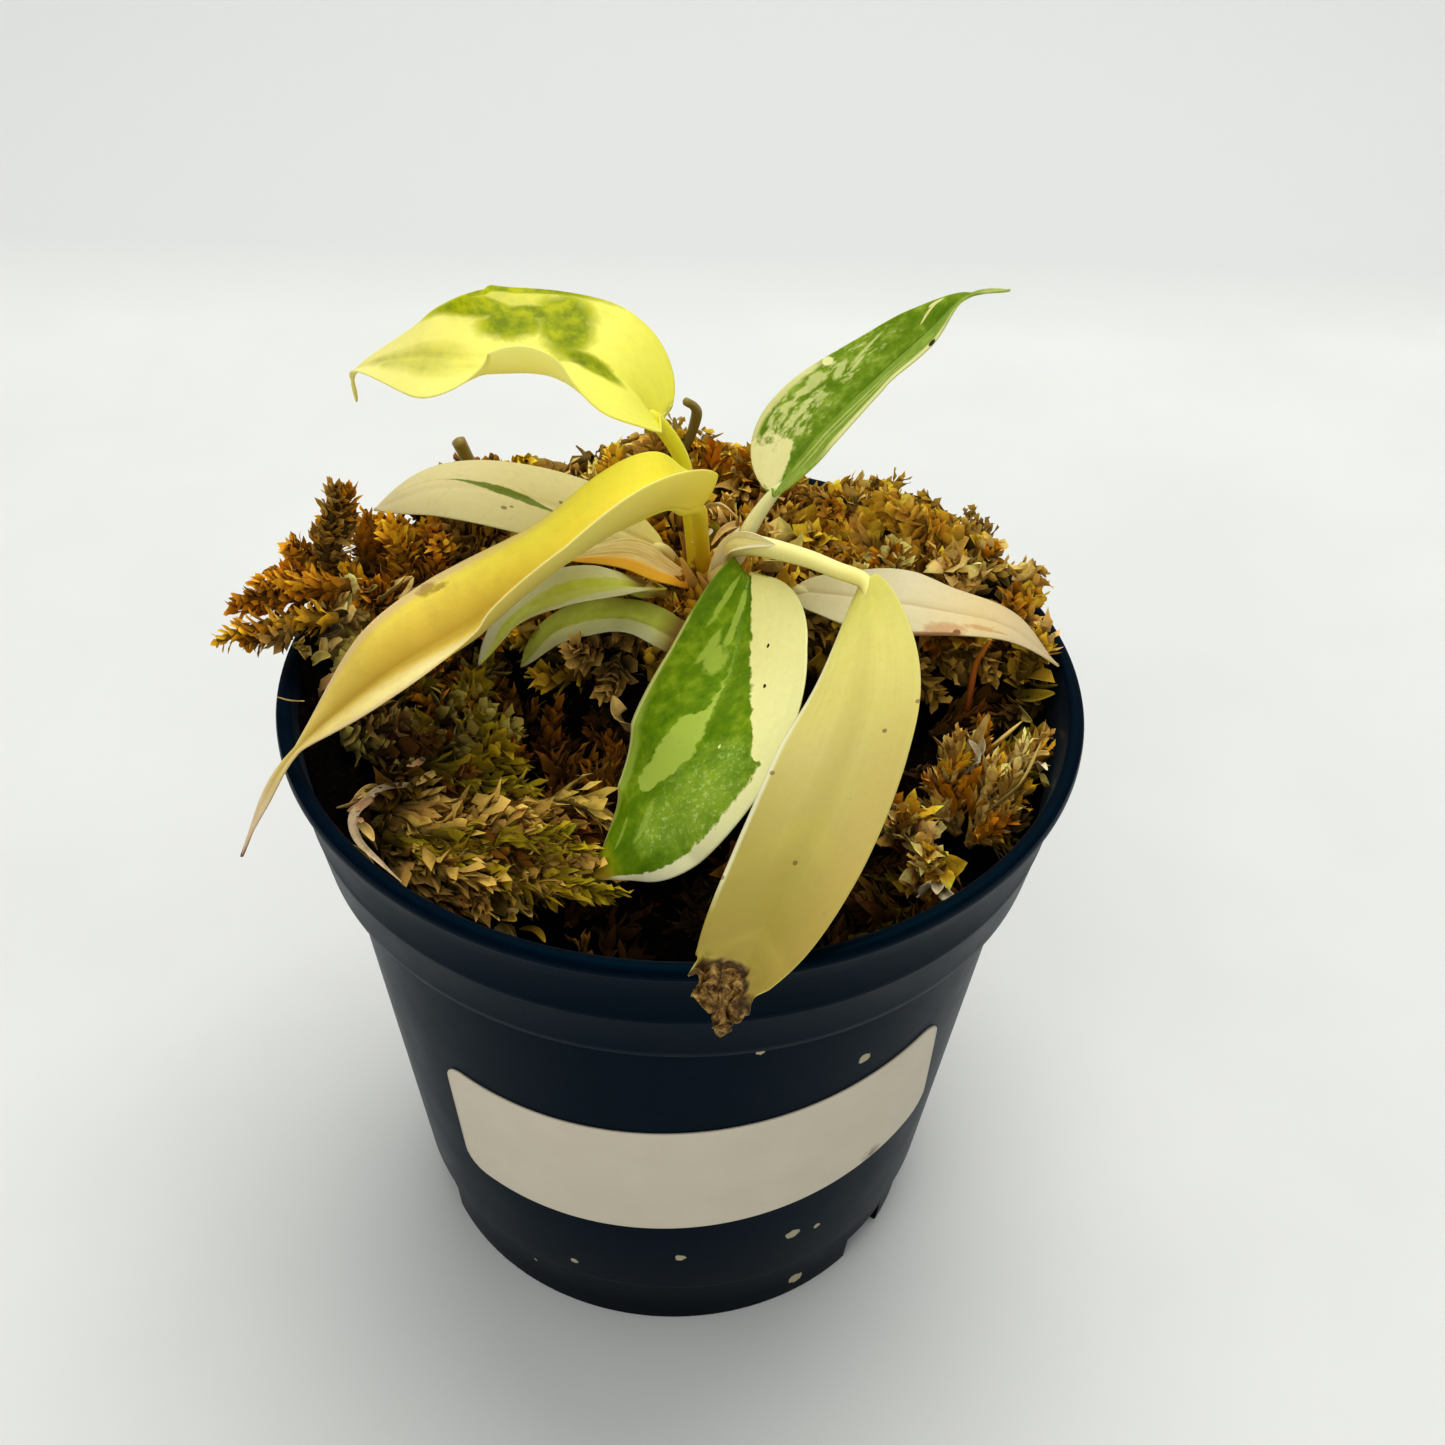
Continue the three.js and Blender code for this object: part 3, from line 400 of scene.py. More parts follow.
# Within 24 mm of the foot the colour darkens towards black: painted shade near the table.
deep = plastic.blend((1 - plastic.axis(where, 2) / 24).held() * 0.85, deep, (0, 2, 8))
plastic.wear("Base Color", plastic.blend(specks, deep, (176, 168, 140)))
plastic.wear("Roughness", 0.24 + 0.2 * dust + 0.4 * specks)
plastic.bump(plastic.noise(where, 2.6, 2) * 0.6 + scuff * 0.4, 0.05, 0.5)
pot = piece("nursery_pot", pot_shape, plastic, "pot_plastic", "pot")

# %% [markdown]
# Three notches in the foot ring and six round holes in the floor let water out. They are real
# openings: a boolean modifier cuts nine prisms out of the pot, and the prisms are thrown away.
# %% Drain holes
hole_circle, hole_radius, notch_circle, half_deep, half_across = 23, 3.5, 38, 5, 4.5
holes = [(ring(hole_radius, 28, (hole_circle * math.cos(a), hole_circle * math.sin(a))), -2, 5)
         for a in (2 * math.pi * (k + 0.5) / 6 for k in range(6))]
notches = []
for angle in (math.radians(82 + 120 * k) for k in range(3)):
    c, s = math.cos(angle), math.sin(angle)
    notches.append(([(notch_circle * c + c * a * half_deep - s * b * half_across,
                      notch_circle * s + s * a * half_deep + c * b * half_across)
                     for a, b in ((-1, -1), (1, -1), (1, 1), (-1, 1))], -5, 5))
corners, faces = [], []
for outline, low, high in notches + holes:
    start, n = len(corners), len(outline)
    corners += [(x / 1000, y / 1000, z / 1000) for z in (low, high) for x, y in outline]
    faces += [tuple(range(start + n - 1, start - 1, -1)), tuple(range(start + n, start + 2 * n))]
    faces += [(start + j, start + (j + 1) % n, start + n + (j + 1) % n, start + n + j)
              for j in range(n)]
cutter = bpy.data.objects.new("cutter", bpy.data.meshes.new("cutter"))
cutter.data.from_pydata(corners, [], faces)
bpy.context.scene.collection.objects.link(cutter)
cut = pot.modifiers.new("cut", "BOOLEAN")
cut.operation, cut.object, cut.solver = "DIFFERENCE", cutter, "EXACT"
graph = bpy.context.evaluated_depsgraph_get()
result = bpy.data.meshes.new_from_object(pot.evaluated_get(graph))
pot.modifiers.remove(cut)
pot.data = result
bpy.data.objects.remove(cutter)
pot.data.polygons.foreach_set("use_smooth", [True] * len(pot.data.polygons))
pot.data.set_sharp_from_angle(angle=math.radians(40))
print("pot after cutting:", len(pot.data.polygons), "faces")

# %% [markdown]
# The label is a strip of matt white paper stuck on a tapered wall. A flat sheet can't be bent
# round a cone as a simple arc, so its points are found on the cone rolled out flat, where the
# strip is a true rectangle, and are then rolled back.
# %% Label
wide, tall, corner, middle_height = 76.2, 25.4, 3.5, 42.8
low, low_radius, high, high_radius = 11, 40.6, 75.4, 48.6
slope = (high_radius - low_radius) / (high - low)
half_angle = math.atan(slope)
apex = (low_radius + slope * (middle_height - low)) / math.sin(half_angle)
tilt, turned_by = math.radians(5.2), math.radians(5.4)


def on_label(along, above, lift):
    """A point of the label, lift millimetres off the wall."""
    a = along * np.cos(tilt) - above * np.sin(tilt)
    b = along * np.sin(tilt) + above * np.cos(tilt)
    reach = np.hypot(a, apex + b)
    turn = np.arctan2(a, apex + b) / math.sin(half_angle) + turned_by
    radius = reach * math.sin(half_angle) + lift * math.cos(half_angle)
    z = middle_height + (reach - apex) * math.cos(half_angle) - lift * math.sin(half_angle)
    return np.stack([radius * np.sin(turn), -radius * np.cos(turn), z + 0 * radius], -1)


above = tall / 2 * np.sin(np.linspace(-np.pi / 2, np.pi / 2, 20))
over = np.maximum(np.abs(above) - (tall / 2 - corner), 0)
ends = wide / 2 - corner + np.sqrt(np.maximum(corner ** 2 - over ** 2, 0))
along = ends[:, None] * np.linspace(-1, 1, 90)[None]
above = np.broadcast_to(above[:, None], along.shape)

paper = Finish("label_paper", Specular_IOR_Level=0.3)
where = paper.place()
cloud = paper.noise(where, 0.12, 4, 0.6)
fibre = paper.noise(where, 3.0, 3, 0.6)
dirt = ((1 - paper.distance(where, (28.5, -32.7, 34.6)) / 2.2).held()
        * (paper.noise(where, 0.5, 4, 0.6) - 0.42).step(0.12))
plain = paper.blend(cloud, (204, 194, 172), (220, 211, 192))
plain = paper.blend(fibre * 0.35, plain, (194, 184, 162))
paper.wear("Base Color", paper.blend(dirt * 0.8, plain, (92, 70, 48)))
paper.wear("Roughness", 0.55 + 0.15 * fibre)
paper.bump(fibre, 0.02, 0.4)
label = two_sided(on_label(along, above, 0.34), on_label(along, above, 0.04))
piece("paper_label", label, paper, "label_paper", "label")

# %% [markdown]
# Each leaf is a long pointed blade folded along its midrib, and its two halves curl on their own.
# It could be sculpted, but numbers are easier to correct: a few stations along the midrib give
# its place, its roll and, for each half, the fold and the curl. A smooth curve runs through them.
# %% Leaf stations
def through(rows, t):
    """Rows of numbers passed through smoothly, with t from 0 at the first to 1 at the last."""
    rows = np.asarray(rows, float)
    whole = np.clip(t, 0, 1) * (len(rows) - 1)
    i = np.minimum(whole.astype(int), len(rows) - 2)
    w = (whole - i)[:, None]
    rows = np.vstack([2 * rows[0] - rows[1], rows, 2 * rows[-1] - rows[-2]])
    a, b, c, d = rows[i], rows[i + 1], rows[i + 2], rows[i + 3]
    return 0.5 * (2 * b + (c - a) * w + (2 * a - 5 * b + 4 * c - d) * w ** 2
                  + (3 * b - 3 * c + d - a) * w ** 3)


def midline(stations, t):
    """Points, and the directions ahead, out of the blade's top, and across it."""
    points = through(stations[:, :3], t)
    ahead = unit(through(stations[:, :3], t + 1e-3) - through(stations[:, :3], t - 1e-3))
    raised = unit(np.array([0, 0, 1.0]) - ahead[:, 2:] * ahead)
    level = np.cross(raised, ahead)
    roll = np.radians(through(stations[:, 3:4], t))
    top = np.cos(roll) * raised + np.sin(roll) * level
    return points, ahead, top, np.cross(top, ahead)


def half_width(t, widest, belly, base, tip_p, tip_q, drip, drip_half):
    """Half the blade's width along it: a rounded rise to the belly, then a fall to the tip."""
    x = np.clip(t / (1 - drip), 0, 1)
    rise = np.sqrt(np.clip(1 - (1 - (x + base * belly) / (belly * (1 + base))) ** 2, 0, 1))
    fall = np.clip(1 - np.clip((x - belly) / (1 - belly), 0, 1) ** tip_p, 0, 1) ** tip_q
    thread = drip_half * np.clip((1 - t) / 0.04, 0, 1) ** 0.5
    return np.maximum(widest * np.where(x < belly, rise, fall), thread)


LEAVES = {
    "upper_left": ([
        [-4, 21.5, 123, 25, 30, 15, 20, 0], [-9.5, 21.5, 130, 25, 15, 20, 5, -10],
        [-18, 21.5, 132.5, 20, 10, 65, 5, -10], [-27, 19.5, 133, 20, 15, 80, 10, -10],
        [-36, 19.5, 133.5, 35, 0, 15, 8, -5], [-46, 28.5, 126, 30, 20, 10, 10, 0],
        [-47.8, 35, 117.5, 35, 15, 5, 10, 0]], (13, .49, .03, 1.2, 1.6, .08, .24)),
    "long_golden": ([
        [1.5, 10.5, 116.5, 10, 60, 50, 20, 10], [-4, 6, 119.5, 20, 60, 50, 15, 5],
        [-15.5, -.5, 115.5, 15, 40, 50, -10, -5], [-27.5, -6, 108.5, 20, 30, 60, 5, 0],
        [-38.4, -15, 106.3, 15, 25, 20, 15, 5], [-48.6, -20.7, 99.6, 5, 5, 0, 0, 0],
        [-53.6, -24, 92.6, 5, 0, -5, 0, 0],
        [-57.2, -25, 84.2, 0, 0, 0, 0, 0]], (9, .57, .3, 1.5, 1.2, .25, .8), (0, 2)),
    "upper_right": ([
        [12, 19, 113.5, 5, 20, 0, 32, 4], [18, 23.5, 120.5, 0, 22, 2, 30, 2],
        [25.5, 27.5, 127, -2, 20, 0, 28, 0], [32, 29.5, 133, -4, 16, -3, 24, -4],
        [37.5, 31.5, 138, 0, 18, 0, 28, 0],
        [43.5, 32, 139, 0, 20, 0, 30, 0]], (8.5, .22, .03, 1.7, .9, .16, .32)),
    "front_hanging": ([
        [23.4, -4.5, 115.7, -45, 10, 5, -10, -10], [22.7, -19.4, 112.5, -23, 2, 0, -6, -7],
        [19.4, -31.8, 108.6, -12, 8, 0, 3, 0], [14.4, -42.9, 104.4, -8, 4, 0, 0, -4],
        [9.9, -51.8, 99.4, -11, 10, 4, 4, 0],
        [4.9, -61.5, 96.9, -12, 14, 6, 6, 0]], (8.4, .42, .03, 3.1, .4, 0, .3)),
    "front_half_green": ([
        [8.8, 6.4, 108.5, -25, 13, -3, 0, -14], [7.4, -6.5, 103.3, -19, 18, -1, 6, -10],
        [2.5, -18.6, 99.9, -12, 8, -8, 0, -14], [-3.8, -25.3, 92.5, -2, 1, -12, 0, -14],
        [-9.9, -28.1, 85.7, 16, -9, -20, 2, -12]], (12.7, .43, .03, 2.4, .9, 0, .3), (-1, 4)),
    "left_cream": ([
        [-3.5, 24, 100.3, 20, 5, -10, 5, -10], [-11, 23.1, 104.7, 20, 5, -10, 5, -10],
        [-22.6, 24, 108.4, 17, 5, -10, 5, -10], [-34.6, 25, 109.4, 17, 2, -10, 0, -14],
        [-44.6, 23.5, 106.4, 20, 5, -10, 5, -10]], (6.5, .46, .03, 2, .8, 0, .3)),
    "small_upper": ([
        [-4.4, 12.8, 101.3, 5, 24, 14, 6, 0], [-10.4, 6.5, 106.2, 12, 20, 12, 4, 0],
        [-16.9, 4.3, 106.4, 15, 15, 10, 6, 0], [-23.7, 5.5, 100.7, 18, 15, 10, 9, 0],
        [-28.7, 5.2, 92.9, 20, 18, 10, 14, 4]], (4, .45, .3, 2.1, .7, 0, .3)),
    "small_lower": ([
        [.5, 6.5, 96.5, 30, 5, 5, 5, 0], [-6.5, 8, 99.5, 15, 10, 5, 5, -5],
        [-13, 8.5, 99, 15, 10, 5, 0, -5], [-18.5, 9, 96, 20, 10, 5, 4, -4],
        [-23, 7.5, 91, 25, 14, 10, 10, 0]], (3.6, .46, .3, 2.1, .8, 0, .3)),
    "right_cream": ([
        [16, 15, 100, -15, 5, -10, 5, -10], [24.5, 11, 102, -15, 5, -10, 5, -10],
        [34.5, 8, 102.5, -13, 5, -10, 6, -10], [44.8, 6.2, 101, -8, 5, -10, 12, -6],
        [52.2, 2.9, 96.9, -10, 2, -10, 6, -10]], (5.8, .42, .03, 1.25, 1.0, 0, .3)),
}
print("leaves:", len(LEAVES))

# %% [markdown]
# The blade itself is two sheets, top and underside, joined round a thin margin. The midrib is a
# fine groove on top and a soft ridge below, as on the living leaf. Each point keeps how far along
# and across the leaf it lies, and its place along the side veins, which run forward from the
# midrib, for the markings to follow.
# %% Blade shape
def blade(stations, outline, lobes=(0, 0), steps=120, columns=37, thick=0.45, rib=0.5, groove=0.22,
          ruffle=None):
    """A leaf's shape, with marks: along, across, vein, off_rib and under."""
    stations = np.array(stations, float)
    length = np.linalg.norm(np.diff(stations[:, :3], axis=0), axis=1).sum()
    round_end = min(2.0, 0.8 * half_width(np.zeros(1), *outline)[0]) / length
    lead = -round_end * np.cos(np.linspace(0, np.pi / 2, 8, endpoint=False))
    t = np.concatenate([lead, 1 - (1 - np.linspace(0, 1, steps)) ** 1.15])
    points, ahead, top, sideways = midline(stations, t)
    points = points + ahead * np.minimum(t, 0)[:, None] * length
    wide = half_width(np.maximum(t, 0), *outline)
    wide = wide * np.sqrt(np.clip(1 - (np.minimum(t, 0) / round_end) ** 2, 0.01, 1))
    s = np.sin(np.linspace(-np.pi / 2, np.pi / 2, columns)) * 0.35 + np.linspace(-1, 1, columns) * 0.65
    angles = np.radians(through(stations[:, 4:8], t))
    right_half = s > 0
    fold = np.where(right_half, angles[:, 0:1], angles[:, 2:3])
    curl = np.where(right_half, angles[:, 1:2], angles[:, 3:4])
    q = np.abs(s)
    middle = fold + curl * q / 2
    span = wide[:, None] * q * np.sinc(curl * q / 2 / np.pi)
    lobe = np.where(right_half, lobes[0], lobes[1])
    back = lobe * np.clip(1 - t / 0.22, 0, 1)[:, None] ** 1.5 * q ** 1.3
    grid = (points[:, None] + sideways[:, None] * (np.sign(s) * span * np.cos(middle))[..., None]
            + top[:, None] * (span * np.sin(middle))[..., None] - ahead[:, None] * back[..., None])
    along, across = np.broadcast_to(t[:, None], span.shape), np.broadcast_to(s, span.shape)
    if ruffle is not None:
        grid = grid + ruffle(along, across, grid)
    normal = unit(np.cross(np.gradient(grid, axis=1), np.gradient(grid, axis=0)))
    normal *= np.sign((normal * top[:, None]).sum(-1).mean())
    off_rib = np.linalg.norm(grid - grid[:, columns // 2][:, None], axis=-1)
    half = thick / 2 * (1 - 0.55 * q ** 3)
    ease = np.clip(1 - along, 0, 1)
    dip = groove * np.exp(-(off_rib / 0.42) ** 2) * ease ** 0.4
    ridge = rib * np.exp(-(off_rib / 0.75) ** 2) * ease
    vein = along * length - 0.9 * off_rib
    marks = {name: np.tile(values.ravel(), 2) for name, values
             in dict(along=along, across=across, vein=vein, off_rib=off_rib).items()}
    return two_sided(grid + normal * (half - dip)[..., None],
                     grid - normal * (half + ridge)[..., None],
                     under=np.repeat([0.0, 1.0], along.size), **marks)


print("a blade has", len(blade(*LEAVES["left_cream"]).points), "points")

# %% [markdown]
# A petiole is the stalk of a leaf: a tube that is slightly grooved on top and runs on under the
# blade as the midrib. A tube needs a frame that doesn't spin about its path, so each ring's frame
# is carried on from the one before.
# %% Stalks
def tube(rows, sides=14, groove=0.0):
    """A tube through rows of x, y, z and radius, with closed ends."""
    t = np.linspace(0, 1, (len(rows) - 1) * 10 + 1)
    path = through(rows, t)
    centre, radius = path[:, :3], np.maximum(path[:, 3], 0.03)
    ahead = unit(np.gradient(centre, axis=0))
    out = unit(np.cross(np.cross(ahead[0], [0.03, 0.02, 1.0]), ahead[0]))
    angles = np.linspace(0, 2 * np.pi, sides, endpoint=False)
    grooved = 1 - groove * np.exp(-(np.angle(np.exp(1j * angles)) / 0.5) ** 2)
    rings = []
    for k in range(len(t)):
        out = unit(out - ahead[k] * (out @ ahead[k]))
        side = np.cross(ahead[k], out)
        reach = (radius[k] * grooved)[:, None]
        rings.append(centre[k] + reach * (np.cos(angles)[:, None] * out + np.sin(angles)[:, None] * side))
    none = np.zeros(len(t) * sides + 2)
    return gathered(rings, centre[0] - ahead[0] * radius[0] * 0.6, centre[-1] + ahead[-1] * radius[-1] * 0.6,
                    along=np.append(np.repeat(t, sides), [0, 1]),
                    across=np.append(np.tile(np.cos(angles), len(t)), [0, 0]),
                    vein=np.append(np.repeat(t * 10, sides), [0, 10]), off_rib=none, under=none)


STALKS = {
    "upper_left": [
        [1.8, 20.2, 96.8, 1.2], [.9, 21.6, 106, 1.2], [-.7, 22.9, 116, 1.15], [-4, 21.5, 123, 1.1]],
    "long_golden": [
        [3.1, 18.2, 97.5, 1.1], [2.5, 16.4, 104, 1.15], [2, 13.4, 111, 1.15], [1.5, 10.5, 116.5, 1.1]],
    "upper_right": [
        [5.5, 19.4, 96, 1.2], [7.2, 19.3, 102, 1.25], [9.2, 18.8, 108.5, 1.2], [12, 19, 113.5, 0.9]],
    "front_hanging": [
        [4.3, 16.5, 94.5, 1.3], [4.6, 14.6, 103, 1.4], [6.1, 14.7, 106.8, 1.4], [9.1, 9.2, 111.7, 1.5],
        [15.2, 1.2, 115.6, 1.3], [19.5, -2.7, 116.4, 1.2], [23.4, -4.5, 115.7, 1.1]],
    "front_half_green": [
        [5.6, 17.2, 89, 1.3], [7, 13, 96, 1.2], [8.3, 10.2, 102.4, 1.05], [9, 7.6, 106.8, 0.7]],
    "left_cream": [
        [2, 20.2, 90.8, 1.2], [-.2, 22.3, 95.4, 1.1], [-1.9, 23.6, 98.6, 1.05], [-3.5, 24, 100.3, 1]],
    "small_upper": [
        [1.4, 18.2, 92.5, 1.2], [-1, 16.8, 96.5, 1.1], [-2.8, 14.8, 99.2, 1], [-4.4, 13, 101.2, 1]],
    "small_lower": [
        [3.2, 16.8, 88, 1.2], [2.6, 12.6, 91, 1.1], [1.8, 9.2, 94, 1], [.5, 6.5, 96.5, 1]],
    "right_cream": [
        [5.7, 19.8, 91.5, 1.2], [9.2, 18, 95, 1.1], [12.8, 16.2, 98, 1.05], [16, 15, 100, 1]],
}


def stalk(leaf):
    """A leaf's petiole, running on under the first part of its blade."""
    points, _, top, _ = midline(np.array(LEAVES[leaf][0]), np.array([0.05, 0.12, 0.22]))
    run_on = [[*(point - out * drop), radius] for point, out, drop, radius
              in zip(points, top, (0.75, 0.6, 0.45), (0.75, 0.5, 0.25))]
    return tube(STALKS[leaf] + run_on, groove=0.16)


print("stalk rows:", {leaf: len(rows) for leaf, rows in STALKS.items()})

# %% [markdown]
# Variegation is where leaf cells lack green. It comes from the growing tip in sectors, so its
# edges run along the leaf and step along the side veins, and fine flecks stray over them. Painted
# textures would be one way. Here a region is two lines across the leaf that change along it, and
# noise that follows the veins makes its edges jagged.
# %% Leaf finishes
class LeafFinish(Finish):
    """A finish in a leaf's own coordinates: t along it and s across it, from -1 to 1."""

    def __init__(self, name, seed, jag=0.16, **constants):
        usual = dict(Specular_IOR_Level=0.2, Subsurface_Weight=0.35, Subsurface_Scale=0.0012,
                     Subsurface_Radius=(1.0, 0.8, 0.2))
        super().__init__(name, **{**usual, **constants})
        self.t, self.s, self.under = (self.mark(name) for name in ("along", "across", "under"))
        self.veinwise = self.vector(self.mark("vein"), self.mark("off_rib") * 0.35, self.s * 2.5 + seed)
        self.lines = self.vector(self.t * 3.0, self.s * 9.0, seed)
        self.skin = self.place()
        ragged = self.noise(self.veinwise, 0.8, 3, 0.6) * 0.4 + self.noise(self.skin, 0.7, 4, 0.65) * 0.6
        self.rough_s = self.s + (ragged - 0.5) * (2 * jag)
        self.rough_t = self.t + (self.noise(self.skin, 0.5, 3) - 0.5) * (0.35 * jag)

    def line(self, rows):
        return self.follow(self.rough_t, rows) if isinstance(rows, list) else rows

    def region(self, low, high, soft=0.04):
        """1 between two lines across the leaf, each a number or rows of (t, s)."""
        return ((self.rough_s - self.line(low)).step(soft)
                * (self.line(high) - self.rough_s).step(soft))

    def stretch(self, first, last, soft=0.02):
        """1 for a stretch of the leaf's length."""
        return (self.rough_t - first).step(soft) * (last - self.rough_t).step(soft)

    def spot(self, t, s, half_long, half_wide, lean=0.0):
        """1 inside an oval mark that leans across the leaf as it goes along."""
        u, v = self.t - t, self.rough_s * 0.4 + self.s * 0.6
        v = v - s - u * lean
        return (1 - (u / half_long) ** 2 - (v / half_wide) ** 2).step(0.3)

    def patches(self, spots, ragged=1.6, soft=0.5, scale=0.35):
        """1 inside any of several ovals of (t, s, half length, half width, lean), with ragged edges."""
        best = -9.0 + self.t * 0
        for t, s, half_long, half_wide, lean in spots:
            u = self.t - t
            v = self.s - s - u * lean
            best = best.most(1 - (u / half_long) ** 2 - (v / half_wide) ** 2)
        return (best + (self.noise(self.skin, scale, 5, 0.62) - 0.5) * ragged).step(soft)

    def paint(self, mask, colour):
        """Lays a colour over the top side, where the mask is 1."""
        self.top = self.blend(mask, self.top, colour)

    def finish(self, below, gloss=0.4, relief=0.09):
        """Joins the two sides' colours, and adds the side veins and the skin's fine cells."""
        lines = self.noise(self.lines, 1.4, 3, 0.55)
        side_veins = self.noise(self.veinwise, 1.4, 2, 0.5)
        mottle = self.noise(self.skin, 0.9, 4, 0.6)
        cells = self.noise(self.skin, 3.4, 2, 0.6)
        duller = self.blend(0.5, self.top, (0.3, 0.22, 0.05))
        self.paint((lines - 0.4).held() * 0.25 + (mottle - 0.45).held() * 0.45, duller)
        self.wear("Base Color", self.blend(self.under, self.top, below))
        self.wear("Roughness", gloss + 0.16 * cells + 0.15 * self.under)
        self.bump(lines * 0.35 + side_veins * 0.3 + cells * 0.35, relief, 0.5)


lime = LeafFinish("leaf_lime_banded", 3.1, jag=0.2, Specular_IOR_Level=0.12)
lime.top = lime.shades(lime.t, (0, (248, 242, 96)), (.2, (250, 243, 112)),
                       (.6, (250, 241, 134)), (1, (240, 226, 146)))
depth = lime.noise(lime.skin, 0.45, 5, 0.62)
green = lime.shades(depth, (.36, (124, 140, 0)), (.5, (152, 164, 0)), (.64, (184, 188, 16)))
green_spots = [(.52, -.76, .15, .17, -1.5), (.43, -.48, .09, .24, 0), (.31, -.5, .06, .5, 0),
               (.24, .0, .09, .13, -1.6), (.43, -.98, .2, .08, 0), (.37, -.62, .07, .12, 0)]
wash = lime.patches([(.66, .1, .13, .36, 0), (.42, -.82, .16, .3, 0)], 1.8, 1.4) * 0.45
lime.paint(lime.patches(green_spots, 1.7, 1.0, 0.45).most(wash), green)
lime.finish((255, 248, 150), 0.38)
print("nodes in a leaf finish:", len(lime.nodes))

# %% [markdown]
# The long leaf is ripening to gold: clear yellow at its base, and a drip tip that has dried to tan.
# Its rims are thin and pinkish. Its trough along the fold is painted a darker brown-gold, which is
# painted shade, and the half nearer the front is painted paler, which is painted light.
# %% Golden leaf
gold = LeafFinish("leaf_golden", 7.7, Subsurface_Weight=0.45)
gold.top = gold.shades(gold.t, (0, (252, 236, 74)), (.3, (254, 232, 84)), (.48, (244, 216, 90)),
                       (.62, (222, 196, 96)), (.76, (220, 200, 126)), (.86, (226, 202, 160)),
                       (.97, (212, 182, 146)), (1, (120, 84, 60)))
# A darker brown-gold down the trough of the fold: painted shade.
painted_trough_shade = (1 - (gold.s + 0.1).size() * 1.5).held() * gold.stretch(.28, .8, .25)
# The near half is painted paler, peach: painted light on the half turned to the front light.
near = (gold.s - .2).step(.25) * gold.stretch(.04, .62, .2)
gold.paint(near * 0.85, (255, 238, 176))
gold.paint(painted_trough_shade * 0.75, (164, 132, 26))
cloud = gold.noise(gold.skin, 0.3, 4, 0.6)
gold.paint((cloud - .45).held() * gold.stretch(.3, .8, .2), (176, 146, 50))
gold.paint((gold.s.size() - .88).step(.1) * gold.stretch(.3, 1.1, .2) * 0.7, (216, 184, 150))
scorch = gold.patches([(.45, -.88, .014, .1, 0), (.435, -.8, .012, .05, 0)], 2.4, 1.2, 1.2)
gold.paint(scorch * 0.6, (126, 100, 10))
below = gold.shades(gold.t, (0, (246, 224, 84)), (.25, (246, 226, 140)), (.5, (242, 214, 130)),
                    (.8, (230, 202, 140)), (.92, (222, 190, 150)), (1, (130, 92, 66)))
gold.finish(below, 0.42, 0.07)

# %% [markdown]
# The leaf that stands up at the right is green with a cream lobe at its base. Cream flecks stray
# from the lobe into the green, and a thin cream line follows one margin.
# %% Green leaf with a cream lobe
lobed = LeafFinish("leaf_green_lobed", 12.4, jag=0.14, Specular_IOR_Level=0.15)
depth = lobed.noise(lobed.skin, 0.4, 5, 0.65)
lobed.top = lobed.shades(depth, (.34, (96, 130, 8)), (.5, (116, 146, 24)), (.66, (150, 174, 66)))
lobed.paint((-.05 - lobed.s).step(.2) * 0.4, (150, 172, 84))
cream = lobed.shades(lobed.t, (0, (240, 232, 172)), (.3, (236, 232, 168)), (1, (212, 208, 146)))
lobe = lobed.region([(0, .02), (.06, .07), (.11, .13), (.15, .28), (1, .3)], 1.5)
frayed = lobed.noise(lobed.skin, .55, 5, .65) - 0.5
lobe = lobe * (.165 - lobed.t - lobed.s * .07 + frayed * .16).step(.03)
fine = lobed.noise(lobed.vector(lobed.t * 24, lobed.s * 9, 5.0), 1.0, 4, .62)
dense = lobed.patches([(.2, .62, .1, .36, 0)], 0.8, 1.2)
sparse = lobed.patches([(.36, .68, .18, .4, 0), (.2, .3, .1, .2, 0)], 0.8, 1.2)
stray = (fine - .58 + .09 * dense).step(.1) * dense.most(sparse * .9)
marks = lobed.patches([(.29, .74, .03, .11, 1.5), (.36, .62, .03, .08, 3), (.45, .68, .06, .035, 2.2),
                       (.40, .5, .03, .04, 2.0)], 1.8, 0.6, 1.0)
notch = lobed.patches([(.35, .9, .014, .09, 0)], .8, .3)
streak = lobed.spot(.67, .55, .05, .05, 4.5).most(lobed.spot(.71, .78, .03, .08, 2.0))
rim_left = (lobed.s - .9).step(.06) * lobed.stretch(.08, .34, .04)
margin = (-.84 - lobed.s).step(.08) * lobed.stretch(.18, .7, .1)
lines = lobed.spot(.3, -.42, .22, .05, -.6).most(lobed.spot(.3, -.62, .22, .04, -.5)) * 0.5
tail = lobed.stretch(.86, 1.2, .06) * 0.6
lobed.paint(stray.most(marks * .8).most(lines).most(tail), (206, 212, 140))
solid = lobe.most(notch).most(streak).most(margin * .85).most(rim_left * .75)
lobed.paint(solid, cream)
lobed.paint(lobed.spot(.61, -.93, .013, .1), (30, 36, 10))
# A darker green line down the midrib's groove: painted shade in the groove.
groove = (0.03 - lobed.s.size()).step(0.03) * lobed.stretch(.3, .85, .2) * 0.6
lobed.paint(groove, (70, 104, 8))
lobed.finish((162, 184, 84), 0.36)

